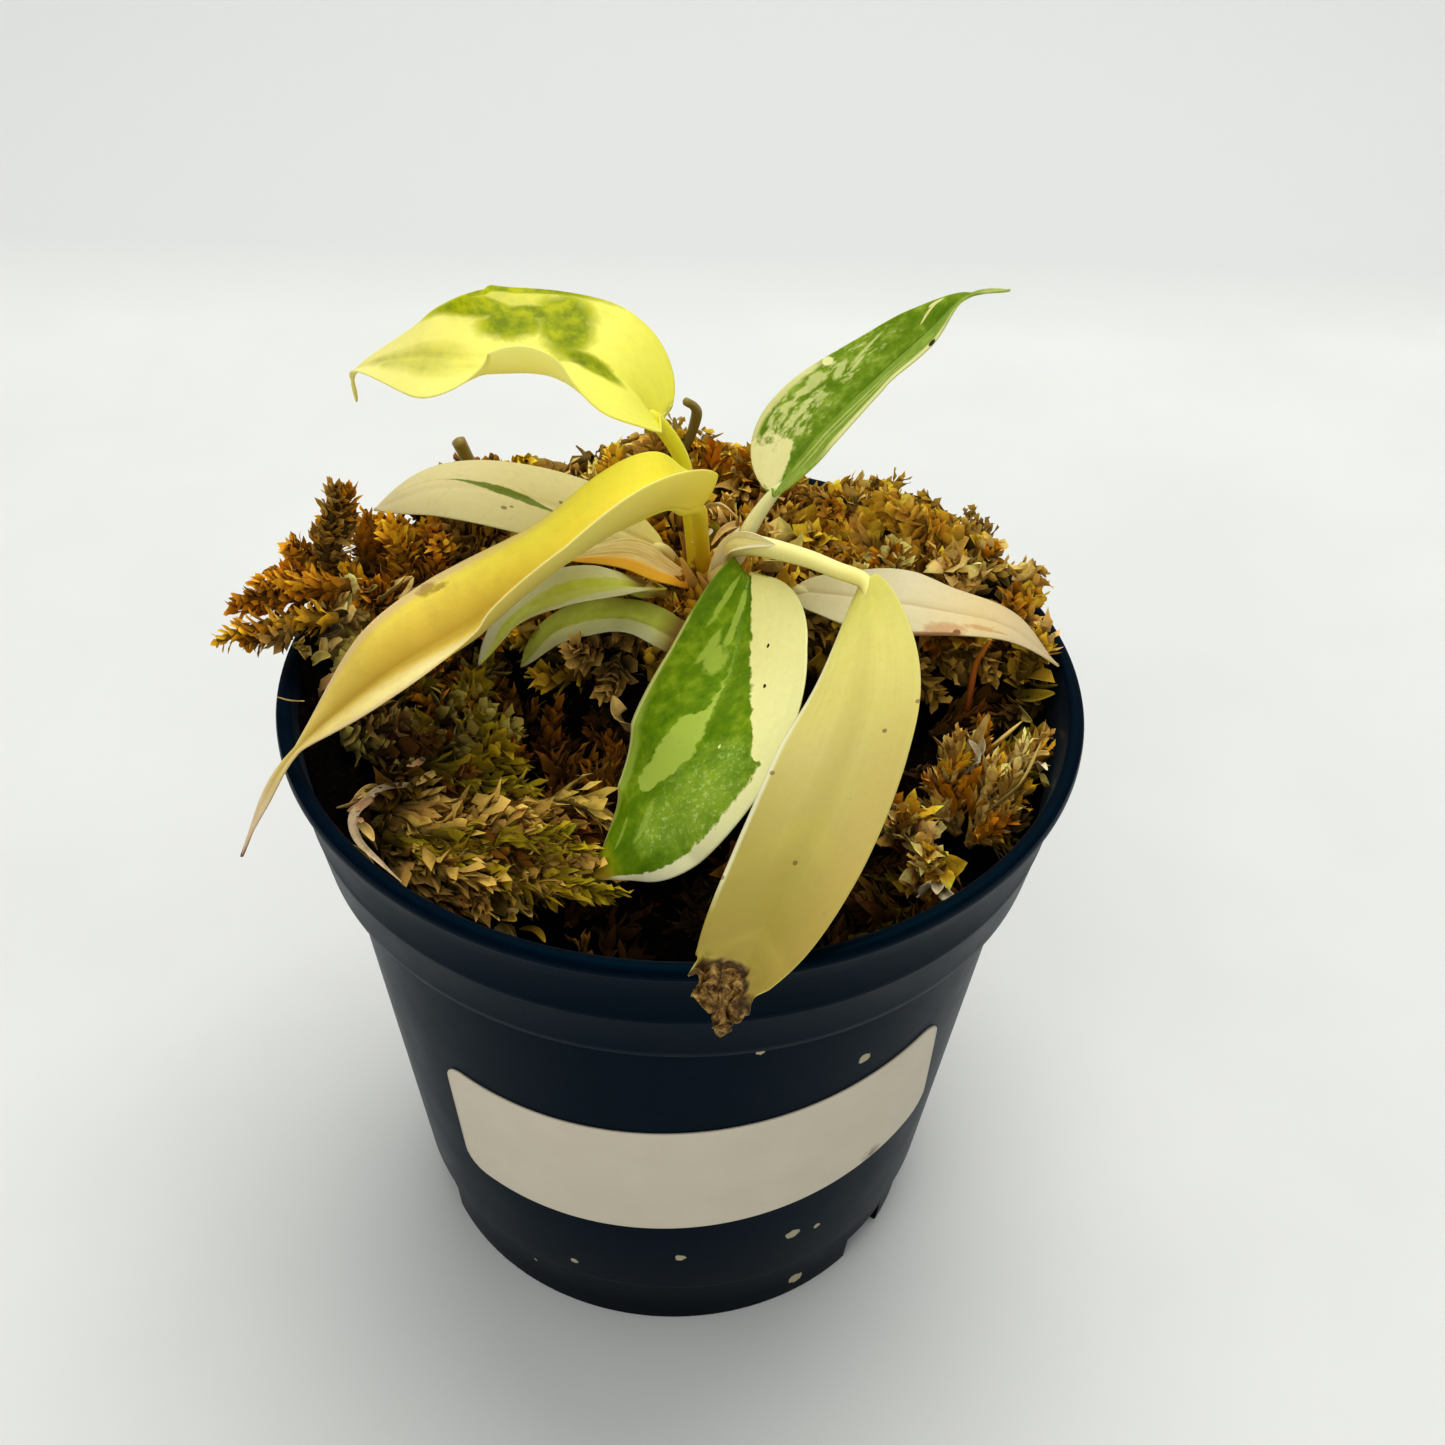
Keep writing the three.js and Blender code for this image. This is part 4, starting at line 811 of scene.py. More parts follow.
# %% [markdown]
# The leaf at the front is the plainest case of a sector: its midrib parts a dark green side from a
# cream one. A paler green island lies in the green, and both have white flecks of lifted skin.
# %% Half green leaf
half = LeafFinish("leaf_half_green", 21.9, jag=0.12, Specular_IOR_Level=0.15)
cloud = half.noise(half.skin, 0.35, 5, 0.66)
half.top = half.shades(cloud, (.34, (84, 120, 4)), (.5, (104, 138, 6)), (.66, (136, 162, 32)))
half.paint(half.patches([(1.0, -.2, .07, 1.2, 0)], 1.0, 1.2) * 0.7, (180, 180, 30))
cream = half.shades(half.t, (0, (240, 232, 156)), (.5, (244, 238, 166)), (1, (240, 234, 196)))
sector = half.region([(0, .10), (.13, .11), (.25, .17), (.38, .38), (.47, .62), (.505, .70), (.512, .83),
                      (.6, .80), (.8, .78), (1, .7)], 1.6, 0.025)
rims = (half.s.size() - .95).step(.03) * half.stretch(.1, .97) * 0.6
island = half.region([(0, -.1), (.30, -.08), (.4, -.13), (.44, -.38), (.6, -.5), (.68, -.56), (.71, -.42),
                      (.72, -.1), (1, -.1)],
                     [(0, -.12), (.30, -.07), (.4, -.05), (.55, .0), (.62, -.12), (.68, -.24), (.71, -.36),
                      (1, -.36)], 0.03)
base_blots = [(.07, -.44, .07, .07, -1.8), (.12, -.14, .1, .06, -1.1), (.24, -.3, .045, .16, 0),
              (.2, -.42, .05, .08, -1.5)]
near_base = half.patches(base_blots, 3.0, 0.7, 0.6)
near_tip = half.patches([(.77, -.02, .07, .06, 1.5), (.86, -.3, .06, .05, 2.0)], 2.4, 0.7, 0.7)
left_rim = half.region(-1.1, [(0, -.99), (.3, -.93), (.55, -.84), (.7, -.74), (.85, -.8), (1, -.98)],
                       .08) * .7
pale = island.most(near_base * .75).most(near_tip * .55).most(left_rim)
half.paint(pale * 0.92, (174, 194, 84))
milky = half.patches([(.64, .4, .14, .4, 0), (.53, .45, .05, .16, 0), (.75, .25, .08, .3, 0)],
                     2.6, 1.6, 0.5)
half.paint(milky * 0.3, (176, 204, 84))
fine = half.noise(half.skin, 1.3, 5, 0.75)
half.paint((fine - .58).step(.12) * milky * 0.6, (206, 226, 140))
speck = half.spot(.5, .27, .005, .016)
half.paint(sector.most(rims).most(speck), cream)
dots = half.spot(.22, .42, .006, .018).most(half.spot(.34, .5, .006, .018))
half.paint(dots, (30, 20, 10))
edging = half.stretch(.965, 1.2, .02)
half.paint(edging * 0.8, (180, 150, 40))
half.finish((170, 190, 100), 0.34, 0.1)

# %% [markdown]
# The hanging leaf has almost no green left. It darkens from cream to a dull olive along its length,
# partly its own colour and partly painted shade where the blade tilts away from the light. Its tip
# has died: brown, crumpled and torn, with a nearly black edge where the living part begins.
# %% Hanging leaf
hanging = LeafFinish("leaf_hanging_cream", 30.2)
# Cream to olive along the leaf: partly its own colour, partly painted shade as the blade tilts down.
hanging.top = hanging.shades(hanging.t, (0, (236, 228, 122)), (.12, (230, 220, 128)),
                             (.4, (200, 187, 114)), (.62, (177, 163, 86)), (.78, (160, 145, 68)),
                             (.92, (142, 126, 56)))
tint = hanging.noise(hanging.veinwise, 0.16, 3)
hanging.paint((tint - 0.42).held() * 0.9, (196, 186, 84))
middle = (1 - ((hanging.s + .05) / .28) ** 2).held() * hanging.stretch(.15, .9, .3)
hanging.paint(middle * 0.2, (156, 142, 56))
blush = (hanging.s - .55).step(.5) * hanging.stretch(.35, .8, .4)
hanging.paint(blush * 0.35, (196, 166, 104))
hanging.paint((-.93 - hanging.s).step(.05) * hanging.stretch(-.1, .75, .1) * 0.7, (240, 236, 196))
stripes = (hanging.noise(hanging.lines, 3.2, 2, 0.5) - 0.5).held()
hanging.paint(stripes * 0.3, (164, 150, 66))
dots = hanging.add("TexVoronoi", {}, {"Vector": hanging.skin, "Scale": 0.2})
hanging.paint((0.07 - dots).step(0.02) * 0.7, (110, 84, 36))
dying = hanging.follow(hanging.s, [(-1, .925), (-.83, .91), (-.5, .888), (-.08, .883), (.12, .892),
                                   (.3, .92), (.42, .935), (.6, .955), (1, .965)])
dead = (hanging.rough_t * 0.5 + hanging.t * 0.5 - dying).step(.012)
singed = (1 - (hanging.t - dying - .008).size() / .014).held()
crumb = hanging.noise(hanging.skin, 1.1, 4, 0.7)
brown = hanging.shades(crumb, (.35, (40, 22, 8)), (.5, (118, 88, 42)), (.66, (180, 150, 88)))
hanging.paint(dead, brown)
hanging.paint(singed * (crumb - .38).step(.2) * 0.95, (36, 18, 6))
hanging.finish(hanging.blend(dead, (216, 202, 120), brown), 0.5, 0.06)

# %% [markdown]
# The two cream leaves differ in one mark each: a green lens along the left one, and a brown
# bruise with a curled edge on the right one.
# %% Cream leaves
left = LeafFinish("leaf_cream_streaked", 41.5, jag=0.06)
left.top = left.shades(left.t, (0, (228, 210, 118)), (.35, (220, 208, 146)), (1, (214, 202, 156)))
centre = left.follow(left.t, [(0, .5), (.42, .17), (.48, .08), (.56, -.05), (.65, -.16), (.74, -.29),
                              (1, -.6)])
thickness = left.follow(left.t, [(0, 0), (.4, 0), (.5, .11), (.6, .1), (.75, 0.0), (1, 0)])
lens = (thickness - (left.rough_s - centre).size()).step(.03)
left.paint(lens * 0.95, (104, 122, 18))
left.paint((left.noise(left.veinwise, .8, 4, .7) - .612).step(.05) * 0.2, (180, 176, 96))
marks = left.spot(.56, .42, .009, .05).most(left.spot(.41, -.15, .006, .035))
left.paint(marks.most(left.spot(.54, .34, .006, .03)) * 0.7, (110, 80, 40))
left.finish((214, 202, 140), 0.44, 0.06)

pink = LeafFinish("leaf_cream_bruised", 47.3)
pink.top = pink.shades(pink.t, (0, (226, 212, 160)), (.4, (240, 226, 184)), (.65, (228, 204, 150)),
                       (.85, (208, 190, 150)), (1, (196, 172, 140)))
stain = pink.noise(pink.skin, 0.5, 5, 0.65)
bruise = pink.patches([(.55, -.74, .06, .22, 0), (.66, -.6, .05, .12, -1), (.73, -.66, .03, .06, 0)],
                      2.4, 1.2, 1.0)
pink.paint(bruise * 0.7, (200, 150, 96))
scorched = (-.9 - pink.s).step(.06) * pink.stretch(.45, .6, .03)
pink.paint(scorched.most(pink.spot(.585, -.9, .012, .12)) * .85, (130, 70, 30))
pink.paint((stain - .5).held() * 0.5, (206, 176, 120))
freckles = pink.add("TexVoronoi", {}, {"Vector": pink.skin, "Scale": 0.28})
pink.paint((0.055 - freckles).step(0.02) * pink.stretch(.2, .7, .1) * 0.5, (150, 100, 60))
pink.paint((.05 - pink.s.size()).step(.05) * 0.35, (196, 168, 112))
pink.finish((224, 204, 158), 0.46, 0.06)

# %% [markdown]
# The two smallest leaves are olive green with pale margins, and brown where they join the crown.
# %% Small leaves
upper = LeafFinish("leaf_small_green_upper", 52.8, Subsurface_Weight=0.7, Subsurface_Scale=0.003)
green = upper.blend(upper.noise(upper.skin, 0.5, 4), (204, 224, 50), (246, 250, 140))
upper.top = upper.blend(upper.noise(upper.skin, 0.7, 2), (255, 250, 160), (255, 252, 190))
near = upper.follow(upper.t, [(0, .3), (.2, .42), (.4, .62), (.6, .9), (1, 1.05)])
far = upper.follow(upper.t, [(0, -.3), (.2, -.42), (.5, -.35), (.8, -.2), (1, .2)])
upper.paint((near - upper.rough_s).step(.1) * (upper.rough_s - far).step(.1), green)
upper.paint((.12 - upper.t).step(.1), (140, 120, 40))
upper.finish((196, 190, 118), 0.42)

lower = LeafFinish("leaf_small_green_lower", 58.1, Subsurface_Weight=0.7, Subsurface_Scale=0.003)
green = lower.blend(lower.noise(lower.skin, 0.5, 4), (176, 192, 20), (232, 238, 110))
lower.top = (255, 248, 160)
lower.paint((.12 - lower.rough_s).step(.15) * (lower.rough_s + 1.02).step(.1) * 0.95, green)
lower.paint((.12 - lower.t).step(.1), (140, 112, 50))
lower.finish((190, 182, 124), 0.42)
print("leaf finishes:", sum(material.name.startswith("leaf") for material in bpy.data.materials))

# %% [markdown]
# A living edge is never quite straight. A slow wave of a third of a millimetre, growing towards
# the margin, is enough, and the dead tip of the hanging leaf gets a coarse crumple instead.
# %% Blades
def wavy(amount, count, phase):
    """A ruffle of the margins."""
    def ruffle(along, across, grid):
        rise = amount * across ** 2 * np.sin(2 * np.pi * count * along + phase + 1.3 * np.sign(across))
        return np.stack([0 * rise, 0 * rise, rise * np.clip(8 * along, 0, 1)], -1)
    return ruffle


def pointed(along, across, grid):
    """The slow wave, a left margin drawn in beyond the middle, and a drawn-out tip."""
    middle = grid[:, grid.shape[1] // 2][:, None]
    inward = unit(middle - grid) * (1.3 * np.clip(-across, 0, 1) ** 2
                                    * np.exp(-((along - 0.78) / 0.16) ** 2))[..., None]
    beyond = np.array([-0.58, -0.2, -0.62]) * (2.2 * np.clip((along - 0.9) / 0.1, 0, 1) ** 2)[..., None]
    return wavy(0.2, 2, 0.2)(along, across, grid) + inward + beyond


def crumpled(along, across, grid):
    """The slow wave, and a crumple of the last tenth."""
    rise = wavy(0.3, 3, 0.4)(along, across, grid)[..., 2]
    dead = np.clip((along - 0.88) / 0.05, 0, 1) * np.clip((0.45 - across) / 0.3, 0, 1)
    dead = np.maximum(dead, np.clip((along - 0.955) / 0.02, 0, 1))
    drawn = 2.2 * np.clip(across, 0, 1) * np.clip((along - 0.94) / 0.06, 0, 1)
    x, y = grid[..., 0], grid[..., 1]
    crease = np.sin(1.9 * x + 1.1 * y) * np.sin(1.7 * y - 0.8 * x + 1) + 0.6 * np.sin(3.7 * x - 2.9 * y)
    hang = 2.6 * np.clip((along - 0.95) / 0.05, 0, 1) ** 1.5
    return np.stack([0.7 * dead * np.sin(2.3 * y) + 0.5 * hang - drawn,
                     0.7 * dead * np.sin(2.1 * x + 1) - 0.3 * hang,
                     rise + 0.9 * dead * crease - hang], -1)


BLADES = [
    ("upper_left", lime, "leaf_lime", dict(ruffle=wavy(0.3, 2.5, 0.5))),
    ("long_golden", gold, "leaf_gold", dict(steps=170, ruffle=wavy(0.35, 4, 1.0))),
    ("upper_right", lobed, "leaf_green", dict(ruffle=wavy(0.25, 3, 2.0))),
    ("front_hanging", hanging, "leaf_cream", dict(steps=170, columns=45, rib=0.1, groove=0.04,
                                                  ruffle=crumpled)),
    ("front_half_green", half, "leaf_green", dict(columns=45, ruffle=pointed)),
    ("left_cream", left, "leaf_cream", dict(ruffle=wavy(0.2, 2, 0.0))),
    ("small_upper", upper, "leaf_green", dict(thick=0.35, ruffle=wavy(0.2, 2, 1.0))),
    ("small_lower", lower, "leaf_green", dict(thick=0.35, ruffle=wavy(0.2, 2, 2.0))),
    ("right_cream", pink, "leaf_cream", dict(ruffle=wavy(0.3, 2.5, 1.0))),
]
blades = [piece("blade_" + leaf, blade(*LEAVES[leaf], **options), finish, slot, "leaf_" + leaf)
          for leaf, finish, slot, options in BLADES]

# %% [markdown]
# Petioles are smooth and waxy, paler than the blades, with fine lines along them. Each has its own
# tint, from the orange-yellow of the golden leaf to the green of the upright one.
# %% Petioles
TINTS = {
    "upper_left": ((214, 196, 40), (244, 234, 44), (250, 240, 90)),
    "long_golden": ((200, 160, 16), (226, 196, 30), (246, 226, 90)),
    "upper_right": ((232, 212, 170), (250, 246, 190), (176, 196, 96)),
    "front_hanging": ((250, 214, 120), (255, 244, 170), (252, 238, 136)),
    "front_half_green": ((200, 176, 80), (180, 190, 70), (130, 156, 30)),
    "left_cream": ((190, 140, 70), (226, 206, 130), (236, 226, 150)),
    "small_upper": ((180, 126, 60), (186, 150, 70), (190, 190, 90)),
    "small_lower": ((180, 126, 60), (194, 146, 80), (200, 186, 110)),
    "right_cream": ((190, 140, 70), (226, 206, 130), (240, 230, 180)),
}


def stalk_finish(name, root, middle, end):
    """A petiole's finish, from its root to the blade."""
    skin = Finish(name, Specular_IOR_Level=0.45, Subsurface_Weight=0.3, Subsurface_Scale=0.0015,
                  Subsurface_Radius=(1.0, 0.8, 0.25))
    t = skin.mark("along")
    streak = skin.noise(skin.vector(t * 2.5, skin.mark("across") * 4), 1.6, 3, 0.6)
    colour = skin.shades(t, (0, root), (.35, middle), (.8, end), (1, end))
    skin.wear("Base Color", skin.blend((streak - .5).held() * 0.25, colour, (170, 150, 60)))
    skin.wear("Roughness", 0.34 + 0.2 * streak)
    skin.bump(streak, 0.06, 0.5)
    return skin


for leaf, _, slot, _ in BLADES:
    finish = stalk_finish("petiole_" + leaf, *TINTS[leaf])
    piece("petiole_" + leaf, stalk(leaf), finish, slot, "leaf_" + leaf)

# %% [markdown]
# The pot is packed with dead sphagnum. Its surface dips in the middle and rises in a bank at the
# back and left, past the rim. Under the loose strands it is a dark felt, so that comes first: one
# closed body that fills the pot, as high as the moss's height at each place. The felt's nearly
# black colour is partly the damp moss's own and partly painted shade in the depths.
# %% Packed moss
MOUNDS = [[4, 17, 2, 11], [-15, -5, -12, 11], [-32, 0, -4, 12], [22, 8, -7, 8], [-2, -26, 2, 9],
          [42, -8, 3, 8], [-22, -42, -6, 13], [12, -44, -6, 14], [30, -16, -5, 9], [42, 8, -7, 8],
          [25, 47, -5, 7]]
# The rim's height and radius, and how far the felt lies under the strands and off the wall.
RIM, RIM_RADIUS, UNDER, OFF_WALL = 96, 54, 2.2, 0.4


def crest(x, y):
    """How high moss may stand: a little above the rim beside it, and free over the left edge."""
    turn = np.degrees(np.arctan2(y, x)) % 360
    above_rim = np.interp(turn, [0, 20, 44, 56, 60, 68, 75, 95, 104, 113, 127, 148, 156, 200, 230, 360],
                          [4, 6, 2, 3.5, -1, -1, 2.5, 5, 3.5, 1, 4, 5, 29, 29, 2, 4])
    return RIM + above_rim + 0.8 * np.maximum(RIM_RADIUS - np.hypot(x, y), 0)


def moss_height(x, y):
    """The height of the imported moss."""
    lowest, bank, dip, way = 77, 22, 7, math.radians(100)
    lean = (x * math.cos(way) + y * math.sin(way)) / 50
    rise = np.clip((lean + 1) / 1.45, 0, 1)
    z = lowest + bank * rise * rise * (3 - 2 * rise) - dip * (1 - np.minimum((x * x + y * y) / 2500, 1))
    for mound_x, mound_y, lift, spread in MOUNDS:
        z = z + lift * np.exp(-((x - mound_x) ** 2 + (y - mound_y) ** 2) / spread ** 2)
    return np.minimum(z, crest(x, y))


def wall_radius(z):
    """The radius of the pot's inside."""
    heights, radii = zip(*[(2, 36), (2.5, 37), (11.2, 39.1), (75, 47.15), (76.1, 49.4), (95.5, 52.85)])
    return np.interp(z, heights, radii)


sides = 160
angle = np.linspace(0, 2 * np.pi, sides, endpoint=False)
edge = wall_radius(np.minimum(moss_height(50 * np.cos(angle), 50 * np.sin(angle)), RIM - 1)) - OFF_WALL
ledge_radius, ledge_height = 47, 76.6
felt_rings = [np.stack([(wall_radius(z) - OFF_WALL) * np.cos(angle),
                        (wall_radius(z) - OFF_WALL) * np.sin(angle), np.full(sides, z)], -1)
              for z in (2.8, 6, 12.5, 30, 50, 68)]
for share in np.linspace(1, 0.02, 44) ** 0.8:
    x, y = edge * share * np.cos(angle), edge * share * np.sin(angle)
    lumps = (1.1 * np.sin(0.5 * x + 1.3) * np.sin(0.55 * y + 0.4) + 0.7 * np.sin(0.9 * x - 0.7 * y)
             + 0.6 * np.sin(1.7 * x + 0.4) * np.sin(1.9 * y))
    z = moss_height(x, y) - UNDER + lumps
    z = np.where(np.hypot(x, y) > ledge_radius, np.maximum(z, ledge_height), z)
    felt_rings.append(np.stack([x, y, z], -1))
felt_shape = gathered(felt_rings, (0, 0, 2.8), (0, 0, felt_rings[-1][:, 2].mean()))
felt = Finish("moss_felt", Roughness=0.95, Specular_IOR_Level=0.1)
fibres = felt.noise(felt.place(), 0.9, 5, 0.7)
# Nearly black fibres: partly damp moss, partly painted shade deep under the strands.
felt.wear("Base Color", felt.shades(fibres, (.35, (4, 2, 1)), (.52, (16, 8, 3)), (.7, (48, 26, 8))))
felt.bump(fibres, 1.2, 1.0)
piece("packed_moss", felt_shape, felt, "moss_rust", "moss_bed")

# %% [markdown]
# The loose moss is what makes the surface: sprigs whose stems are wrapped in small pointed scale
# leaves. Hair particles could draw them, but exports lose those, so each sprig is real mesh: a
# bent stem, and cupped scales of seven faces set round it in a spiral like a pine cone's. All the
# sprigs of a group are worked out at once, as arrays.
# %% Sprigs
chance = np.random.default_rng(20)
points, faces = [], []
for made in blades:
    start = len(points)
    points += [tuple(vertex.co * 1000) for vertex in made.data.vertices]
    faces += [tuple(start + k for k in face.vertices) for face in made.data.polygons]
living = BVHTree.FromPolygons(points, faces)


def clear_of_leaves(point, gap):
    """True where no blade is within the gap."""
    return living.find_nearest(Vector(point), gap)[0] is None


def inside_pot(points):
    """True where a point is inside the wall or above the rim."""
    radius = np.hypot(points[..., 0], points[..., 1])
    return (points[..., 2] > RIM + 1) | (radius < wall_radius(points[..., 2]) - 0.3)


# Each scale stands this many radians round the stem from the one below it.
SPIRAL = 2.4
# One scale, in shares of its length, half its width and its cup, with its keel in the middle.
SCALE = np.array([[0, -.5, 0], [0, .5, 0], [.36, -1, -.9], [.36, 0, .3], [.36, 1, -.9], [.72, -.75, -.5],
                  [.72, 0, .2], [.72, .75, -.5], [1, 0, 0]])
TRIANGLES = np.array([[0, 3, 2], [0, 1, 3], [1, 4, 3], [5, 6, 8], [6, 7, 8]])
SQUARES = np.array([[2, 3, 6, 5], [3, 4, 7, 6]])
SCALE_SHADE = np.array([.5, .5, .86, .78, .86, 1.02, .98, 1.02, 1.25])


def sprigs(root, tip, colour, thick, leaf, width, per_mm, spread, bow=0.12, hook=0.1, jitter=0.05):
    """Sprigs from root to tip. thick is the stem's radius, and leaf and width are the scale's size."""
    number, tip = len(root), tip.copy()
    tip[:, 2] = np.minimum(tip[:, 2], crest(tip[:, 0], tip[:, 1]))
    length = np.linalg.norm(tip - root, axis=1)
    bend = (root + tip) / 2 + chance.normal(0, 1, (number, 3)) * (length * bow)[:, None]

    def centre(u, own):
        u = u[:, None]
        return (1 - u) ** 2 * root[own] + 2 * u * (1 - u) * bend[own] + u ** 2 * tip[own]

    def along_stem(u, own):
        """Points of the stems, and the directions ahead, around and across."""
        ahead = unit(centre(u + 0.01, own) - centre(u - 0.01, own))
        around = unit(np.cross(ahead, chance.normal(0, 1, (number, 3))[own]))
        return centre(u, own), ahead, around, np.cross(ahead, around)

    end = np.ones(number)
    for own in range(number):
        for u in np.linspace(0.05, 1, 9):
            point = centre(np.array([u]), np.array([own]))[0]
            low = point[2] <= crest(*point[:2]) + 0.3
            if not (clear_of_leaves(point, 1) and inside_pot(point) and low):
                end[own] = max(u - 0.15, 0)
                break
    counts = (length * per_mm * end).astype(int)
    own = np.repeat(np.arange(number), counts)
    order = np.arange(len(own)) - np.repeat(np.cumsum(counts) - counts, counts)
    u = (order + 0.6) / np.maximum(counts[own], 1) * end[own]
    middle, ahead, around, third = along_stem(u, own)
    turn = order * SPIRAL + chance.normal(0, 0.4, len(own))
    out = np.cos(turn)[:, None] * around + np.sin(turn)[:, None] * third
    taper = 1 - 0.45 * u ** 3
    size = np.broadcast_to(leaf, number)[own] * taper * chance.uniform(0.7, 1.35, len(own))
    wide = width * taper * chance.uniform(0.7, 1.3, len(own))
    tilt = np.radians(spread * (1.2 - 0.6 * u) + chance.normal(0, 9, len(own)))
    forward = np.cos(tilt)[:, None] * ahead + np.sin(tilt)[:, None] * out
    outward = np.cos(tilt)[:, None] * out - np.sin(tilt)[:, None] * ahead
    side = unit(np.cross(ahead, out) + chance.normal(0, 0.3, len(own))[:, None] * outward)
    foot = middle + out * (thick * 0.75 * taper)[:, None]
    cup = (wide * chance.uniform(-0.05, 0.35, len(own)))[:, None]
    curl = (size * chance.normal(hook, 0.16, len(own)))[:, None]
    rise = SCALE[:, 2] * cup + SCALE[:, 0] ** 2 * curl
    corners = (foot[:, None] + forward[:, None] * (SCALE[:, 0] * size[:, None])[..., None]
               + side[:, None] * (SCALE[:, 1] * wide[:, None] / 2)[..., None]
               + outward[:, None] * rise[..., None])
    corners[:, 2:] += chance.normal(0, jitter, (len(own), 7, 3)) * size[:, None, None]
    keep = (inside_pot(corners) & (corners[..., 2] < crest(corners[..., 0], corners[..., 1]) + 1)).all(1)
    for corner in (3, 6, 8):
        keep[keep] = [clear_of_leaves(point, 0.5) for point in corners[keep, corner]]
    corners, own, u = corners[keep], own[keep], u[keep]
    # Painted shade: scales low near the felt are darker. Paler sprig tips are partly painted light.
    above_felt = corners[..., 2] - moss_height(corners[..., 0], corners[..., 1])
    shade = colour[own] * (chance.uniform(0.82, 1.2, len(own)) * (0.85 + 0.3 * u))[:, None]
    shade = shade[:, None] * (SCALE_SHADE * np.clip((above_felt + 2.6) / 5, 0.22, 1.15))[..., None]
    starts = 9 * np.arange(len(own))[:, None, None]
    scales = Shape(corners.reshape(-1, 3), [(starts + TRIANGLES).reshape(-1, 3),
                                            (starts + SQUARES).reshape(-1, 4)],
                   tint=np.clip(shade, 0, 1).reshape(-1, 3))
    whose = np.repeat(np.arange(number), 6)
    u = np.tile(np.linspace(0, 1, 6), number) * end[whose]
    middle, _, around, third = along_stem(u, whose)
    reach = (thick * (1 - 0.7 * u ** 2))[:, None]
    stem = np.stack([middle + reach * (math.cos(a) * around + math.sin(a) * third)
                     for a in np.linspace(0, 2 * np.pi, 6)[:-1]], 1).reshape(-1, 3)
    faces = (weave(6, 5, True)[None] + 30 * np.arange(number)[:, None, None]).reshape(-1, 4)
    bark = np.repeat(colour[whose] * 0.3, 5, 0)
    return together([scales, Shape(stem, [faces], tint=bark)])


STUBBY = dict(thick=0.95, leaf=2.3, width=1.5, per_mm=4.6, spread=38, hook=0.12)
FLAKY = dict(thick=0.9, leaf=3.2, width=2.3, per_mm=3.2, spread=34, jitter=0.08)
PAPERY = dict(thick=0.5, leaf=4.6, width=3.4, per_mm=0.9, spread=42, jitter=0.14, hook=0.2)
FIBROUS = dict(thick=0.7, leaf=5.0, width=1.35, per_mm=2.7, spread=16, bow=0.14, hook=0.03, jitter=0.07)
SPIKY = dict(thick=0.6, leaf=3.3, width=1.3, per_mm=3.3, spread=27, jitter=0.06)
FANNED = dict(thick=0.6, leaf=3.4, width=1.4, per_mm=2.4, spread=34, jitter=0.07)

# %% [markdown]
# Dead moss is rust, straw, olive or grey by turns, a clump at a time. The colour of each scale is
# carried by its points: dark at the foot, partly damp and partly painted shade, and pale at the
# tip. Scales that lie low, close to the felt, are darker still: painted shade in the depths.
# %% Moss finish and colours
def moss_finish(name, gloss=0.6):
    """A finish that takes its colour from each point's tint."""
    moss = Finish(name, Specular_IOR_Level=0.15, Sheen_Weight=0.2, Sheen_Roughness=0.5,
                  Sheen_Tint=(1.0, 0.72, 0.25))
    tint = moss.mark("tint", "Color")
    mottle = moss.noise(moss.place(), 0.9, 4, 0.65)
    moss.wear("Base Color", moss.blend((mottle - .48).held() * 1.4, tint, (70, 38, 6)))
    moss.wear("Roughness", gloss + 0.25 * mottle)
    moss.bump(moss.noise(moss.place(), 3.0, 3, 0.6), 0.12, 0.8)
    return moss


RUST, ORANGE, BROWN = (0.52, 0.22, 0.005), (0.80, 0.42, 0.02), (0.22, 0.085, 0.004)
OCHRE, STRAW, BUFF = (0.78, 0.49, 0.04), (0.76, 0.52, 0.12), (0.92, 0.66, 0.22)
CREAM, PINKISH, GREY = (0.95, 0.84, 0.55), (0.85, 0.52, 0.28), (0.47, 0.38, 0.09)
OLIVE, LEAFY, BLACK = (0.38, 0.28, 0.01), (0.50, 0.46, 0.03), (0.02, 0.018, 0.012)
# The first colour on the next line is a near-black brown, not a moss colour: painted shade for low places.
PAINTED_SHADE, TAN = (0.09, 0.032, 0.002), (0.52, 0.32, 0.07)


def mixed(number, *weighted):
    """A colour for each strand, drawn from (colour, weight) pairs."""
    colours, weights = (np.array(part) for part in zip(*weighted))
    pick = chance.choice(len(weights), number, p=weights / weights.sum())
    return colours[pick] * chance.uniform(0.8, 1.2, (number, 1)) * chance.uniform(0.95, 1.05, (number, 3))


print("rust, drawn twice:", mixed(2, (RUST, 1)).round(2).tolist())

# %% [markdown]
# Moss lies in clumps, each a handful of sprigs from one plant that lean the same way and share a
# colour. Strewing single sprigs evenly would look like a lawn, so clumps are laid first, on a
# loose grid of under six millimetres, and each part of the pot has its own mixture.
# %% Clumps over the surface
def parts(x, y):
    """The parts of the moss's surface, by name, and whether each place lies in them."""
    back = (y > 10) & (x > -28)
    debris = (x < -35) & (y < 9) & (y > -14)
    left = (x < -24) & (y > -2) & ~debris
    hollow = ~back & (y < 14) & (np.hypot(x + 8, y + 14) < 34) & ~left & ~debris
    return {"back": back, "debris": debris, "left": left, "hollow": hollow,
            "right": ~back & ~hollow & (x > 20),
            "front": ~(back | left | hollow | debris) & (x <= 20)}


